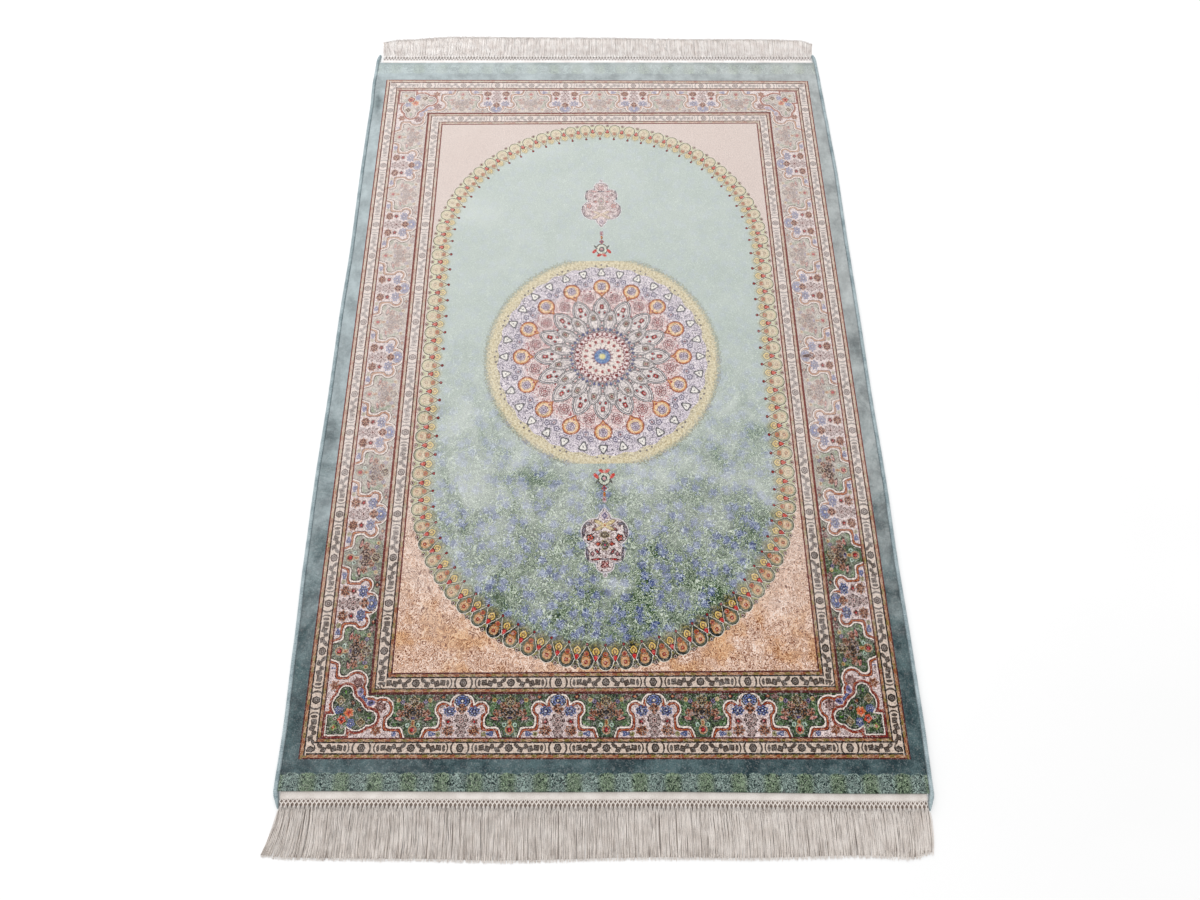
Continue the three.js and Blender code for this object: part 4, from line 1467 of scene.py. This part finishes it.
# The binding's section: share of its width outwards, share of its height
SELVEDGE_ROUND = [
    (0.02, 0.04),
    (0.0, 0.5),
    (0.05, 0.8),
    (0.2, 0.95),
    (0.42, 1.0),
    (0.64, 0.95),
    (0.84, 0.8),
    (0.96, 0.56),
    (1.0, 0.3),
    (0.92, 0.04),
]
# The binding's turns of yarn: their pitch, how far they lean, and how far the
# grooves between them lower and narrow the section
WRAP_PITCH = 2.3
WRAP_LEAN = 1.2
WRAP_DEPTH = 0.1
WRAP_WAIST = 0.06


def build_selvedge(side, name):
    near = float(short_edge_y(-1, side * PILE_WIDTH / 2))
    far = float(short_edge_y(1, side * PILE_WIDTH / 2))
    past = [(near - row[0], *row[1:]) for row in reversed(NEAR_TAIL)]
    past += [
        (near, SEWN_GAP, SEWN_GAP + SELVEDGE_WIDTH, 1.0), (far, SEWN_GAP, SEWN_GAP + SELVEDGE_WIDTH, 1.0),
    ]
    past += [(far + row[0], *row[1:]) for row in FAR_TAIL]
    table = np.array(past)
    y = np.arange(table[0, 0], table[-1, 0], WRAP_PITCH / 4)
    inner = np.interp(y, table[:, 0], table[:, 1])
    outer = np.interp(y, table[:, 0], table[:, 2])
    height = np.interp(y, table[:, 0], table[:, 3]) * SELVEDGE_HEIGHT
    section = np.array(SELVEDGE_ROUND)
    edge = long_edge_x(side, y)
    lean = section[:, 0] * WRAP_LEAN
    phase = (y[:, None] + lean[None]) / WRAP_PITCH
    ridge = np.abs(np.sin(math.pi * phase))
    shrink = 1 - WRAP_DEPTH * (1 - ridge)
    middle = (inner + outer) / 2
    across = inner[:, None] + (outer - inner)[:, None] * section[None, :, 0]
    across = middle[:, None] + (across - middle[:, None]) * (1 - WRAP_WAIST * (1 - ridge))
    x = edge[:, None] + side * across
    z = height[:, None] * section[None, :, 1] * shrink
    z[:, [0, -1]] = 0.1
    points = np.stack([x, np.repeat(y[:, None], len(section), 1), z], -1)
    mesh = ribbon_mesh(name, points, side > 0, SELVEDGE_YARN)
    return new_piece(name, mesh, name.replace("_binding", ""))


def tape_ends(end):
    left, right = TAPE_END_INSET["near" if end < 0 else "far"]
    y = end * PILE_LENGTH / 2
    return float(long_edge_x(-1, y)) + left, float(long_edge_x(1, y)) - right


# The tape's section: distance past the pile's end, height
TAPE_SECTION = [
    (0.3, 0.1), (0.3, 1.9), (0.9, 2.35), (3.0, 2.55), (6.5, 2.5), (8.4, 2.2), (8.9, 1.6), (8.9, 0.1),
]


def build_tape(end, name, node):
    start, stop = tape_ends(end)
    x = np.linspace(start, stop, 420)
    section = np.array(TAPE_SECTION)
    base = short_edge_y(end, x)
    # The weave's slight wave, past the sewn side
    wave = 0.12 * np.sin(x / 9.1) + 0.08 * np.sin(x / 3.7)
    y = base[:, None] + end * (
        section[None, :, 0] + np.where(section[:, 0] > 3, 1, 0)[None] * wave[:, None]
    )
    z = np.repeat(section[None, :, 1], len(x), 0)
    points = np.stack([np.repeat(x[:, None], len(section), 1), y, z], -1)
    mesh = ribbon_mesh(name, points, end < 0, YARN["tape", end])
    return new_piece(name, mesh, node)


def knot_columns(end):
    start, stop = tape_ends(end)
    count = int((stop - start) // STRAND_PITCH)
    return start + (np.arange(count) + 0.5) / count * (stop - start)


# Distance past the tape, then how far the cords stand from the knot's column there
NET_ROWS = [(0.0, 0.0), (1.6, 0.5), (3.1, 1.0), (4.7, 0.5), (6.2, 0.0), (7.6, 0.16), (9.2, 0.1)]
# How far past the net's start its strip of painted shade runs
SHADE_REACH = 12.5
# The net's cords: half their thickness, and the height of a knot over the next
CORD_RADIUS = 0.72
KNOT_RISE = 0.28


def build_net(end, name, node):
    columns = knot_columns(end)
    half = (columns[1] - columns[0]) / 2
    base = SEWN_GAP + TAPE_WIDTH - 0.8
    places = np.linspace(0, 9.6, 15)
    rows = np.array(NET_ROWS)
    offset = np.interp(places, rows[:, 0], rows[:, 1])
    paths = []
    for side in (-1, 1):
        for level in (0.0, KNOT_RISE):
            x = columns[:, None] + side * (offset[None] * half + level * np.cos(places / 1.6))
            y = short_edge_y(end, x) + end * (base + places[None])
            lift = 1.15 + 0.45 * np.cos(math.pi * places / 3.1) * side
            z = np.repeat(lift[None], len(columns), 0) + level
            paths.append(np.stack([x, y, z], -1))
    paths = np.concatenate(paths)
    radii = np.full(paths.shape[:2], CORD_RADIUS)
    mesh = tube_mesh(name, paths, radii, 5, YARN["net", end])
    # A strip of painted shade, coloured as dark yarn, behind the net's holes and between the first of the
    # threads
    start, stop = tape_ends(end)
    x = np.linspace(start, stop, 160)
    edge = short_edge_y(end, x)
    lines = [
        np.stack([x, edge + end * (base + past), np.full(len(x), height)], -1)
        for past, height in ((0.2, 0.05), (0.2, 0.75), (SHADE_REACH, 0.3), (SHADE_REACH, 0.05))
    ]
    shade = ribbon_mesh(f"{name}_shade", np.stack(lines, 1), end < 0, YARN["shade", end])
    return [new_piece(f"{name}_shade", shade, node), new_piece(name, mesh, node)]


THREADS_A_KNOT = 17
# The bed is a lower layer of thicker threads under the upper one, coloured darker with painted shade
BED_A_KNOT = 4
BED_SHORTER = 3.0
BED_HEIGHT = 0.3
BED_RADIUS = 0.82
THREAD_STATIONS = 9


def thread_paths(end, tips, each, wild):
    """Paths of the threads that hang from every knot: wild is 0 to 1."""
    columns = knot_columns(end)
    count = len(columns) * each
    knot = np.repeat(columns, each)
    pitch = columns[1] - columns[0]
    place = np.tile((np.arange(each) + 0.5) / each - 0.5, len(columns))
    share = np.linspace(0, 1, THREAD_STATIONS)[None]
    reach = eased(tips, knot, 1) + wild * (rng.normal(0, 0.7, count) - np.abs(rng.normal(0, 1.0, count)))
    drift = eased(tips, knot, 2)
    sway = np.interp(knot, np.linspace(-400, 400, 16), rng.normal(0, 1.6, 16))
    own = wild * rng.normal(0, 1.5, count)
    root_x = knot + place * 3.2
    root_y = short_edge_y(end, knot) + end * (SEWN_GAP + TAPE_WIDTH + NET_WIDTH - 2.0)
    tip_y = end * (PILE_LENGTH / 2 + reach)
    spread = place * (pitch * 1.25 - 3.2) + own
    fan = np.minimum(share * 6, 1) ** 0.9
    x = root_x[:, None] + spread[:, None] * fan + drift[:, None] * share**1.6
    x = x + sway[:, None] * np.sin(math.pi * share) * share
    phase = rng.uniform(0, 6.28, count)[:, None]
    swing = wild * rng.uniform(0.2, 0.9, count)[:, None]
    turns = rng.uniform(2.5, 6.5, count)[:, None]
    x = x + swing * np.sin(phase + turns * share) * np.minimum(share * 3, 1)
    y = root_y[:, None] + (tip_y - root_y)[:, None] * share
    return x, y, share, phase, count


def build_threads(end, name, node, tips):
    x, y, share, phase, count = thread_paths(end, tips, THREADS_A_KNOT, 1.0)
    layer = rng.uniform(0, 1, count)[:, None]
    z = 0.85 + 1.35 * layer * (1 - 0.45 * share) + 0.25 * np.sin(phase * 1.7 + 5 * share) * share
    z = z * (1 - 0.45 * share**3) + 0.35 * (1 - share) ** 3
    thick = rng.uniform(0.24, 0.34, count)[:, None] * (1 - 0.3 * share**4)
    mesh = tube_mesh(name, np.stack([x, y, z], -1), thick, 3, YARN["thread", end])
    under = [(row[0], row[1] - BED_SHORTER, row[2]) for row in tips]
    x, y, share, phase, count = thread_paths(end, under, BED_A_KNOT, 0.15)
    z = np.full(x.shape, BED_HEIGHT)
    bed = tube_mesh(
        f"{name}_bed", np.stack([x, y, z], -1), np.full((count, 1), BED_RADIUS), 4, YARN["bed", end]
    )
    return [new_piece(f"{name}_bed", bed, node), new_piece(name, mesh, node)]


FLOOR_HALF = 12


def add_floor():
    cloth = Cloth("floor")
    place = cloth.nodes.new("ShaderNodeTexCoord").outputs["Object"]
    grain = cloth.noise(place, 0.4, detail=2)
    tint, _ = cloth.ramp(grain, {0.3: "f4f4f4", 0.7: "f8f8f8"}, soft=True)
    mesh = bpy.data.meshes.new("floor")
    half = FLOOR_HALF
    mesh.from_pydata(
        [(-half, -half, 0), (half, -half, 0), (half, half, 0), (-half, half, 0)], [], [(0, 1, 2, 3)]
    )
    mesh.materials.append(cloth.finish(tint, {"Roughness": 0.9, "Specular IOR Level": 0.1}))
    floor = bpy.data.objects.new("floor", mesh)
    bpy.context.scene.collection.objects.link(floor)


SELVEDGE_YARN = yarn_material("selvedge_yarn", "71848a", "aab9bd", 0.0016, sheen=0.3, roughness=0.5)
# A yarn's dark and light tones in the near fringe, then in the far one, which is painted
# paler with painted light, and the size of its streaks; shade and bed are darker with painted shade
FRINGE_YARNS = {
    "tape": (("d0c7c0", "e6dfd9"), ("dcd5d2", "f2eeec"), 0.0012),
    "net": (("d4cac3", "ece4de"), ("dcd5d2", "f2eeec"), 0.0009),
    "shade": (("78685e", "988a80"), ("a0948c", "b8aea8"), 0.0009),
    "bed": (("887c74", "aca198"), ("c0b6ae", "d8d0ca"), 0.0011),
    "thread": (("dcd2ca", "f4ede7"), ("e8dfda", "fdf9f6"), 0.0011),
}
YARN = {}
for yarn, (near_tones, far_lit_tones, streak) in FRINGE_YARNS.items():
    YARN[yarn, -1] = yarn_material(f"{yarn}_yarn", *near_tones, streak)
    YARN[yarn, 1] = yarn_material(f"{yarn}_yarn_far", *far_lit_tones, streak)

add_camera()
add_studio()
add_floor()
pile = build_pile()
edges = [build_selvedge(-1, "selvedge_left_binding"), build_selvedge(1, "selvedge_right_binding")]
for end, word, tips in ((-1, "near", NEAR_TIPS), (1, "far", FAR_TIPS)):
    node = f"fringe_{word}"
    edges.append(build_tape(end, f"tape_{word}", node))
    edges += build_net(end, f"net_{word}", node)
    edges += build_threads(end, f"threads_{word}", node, tips)
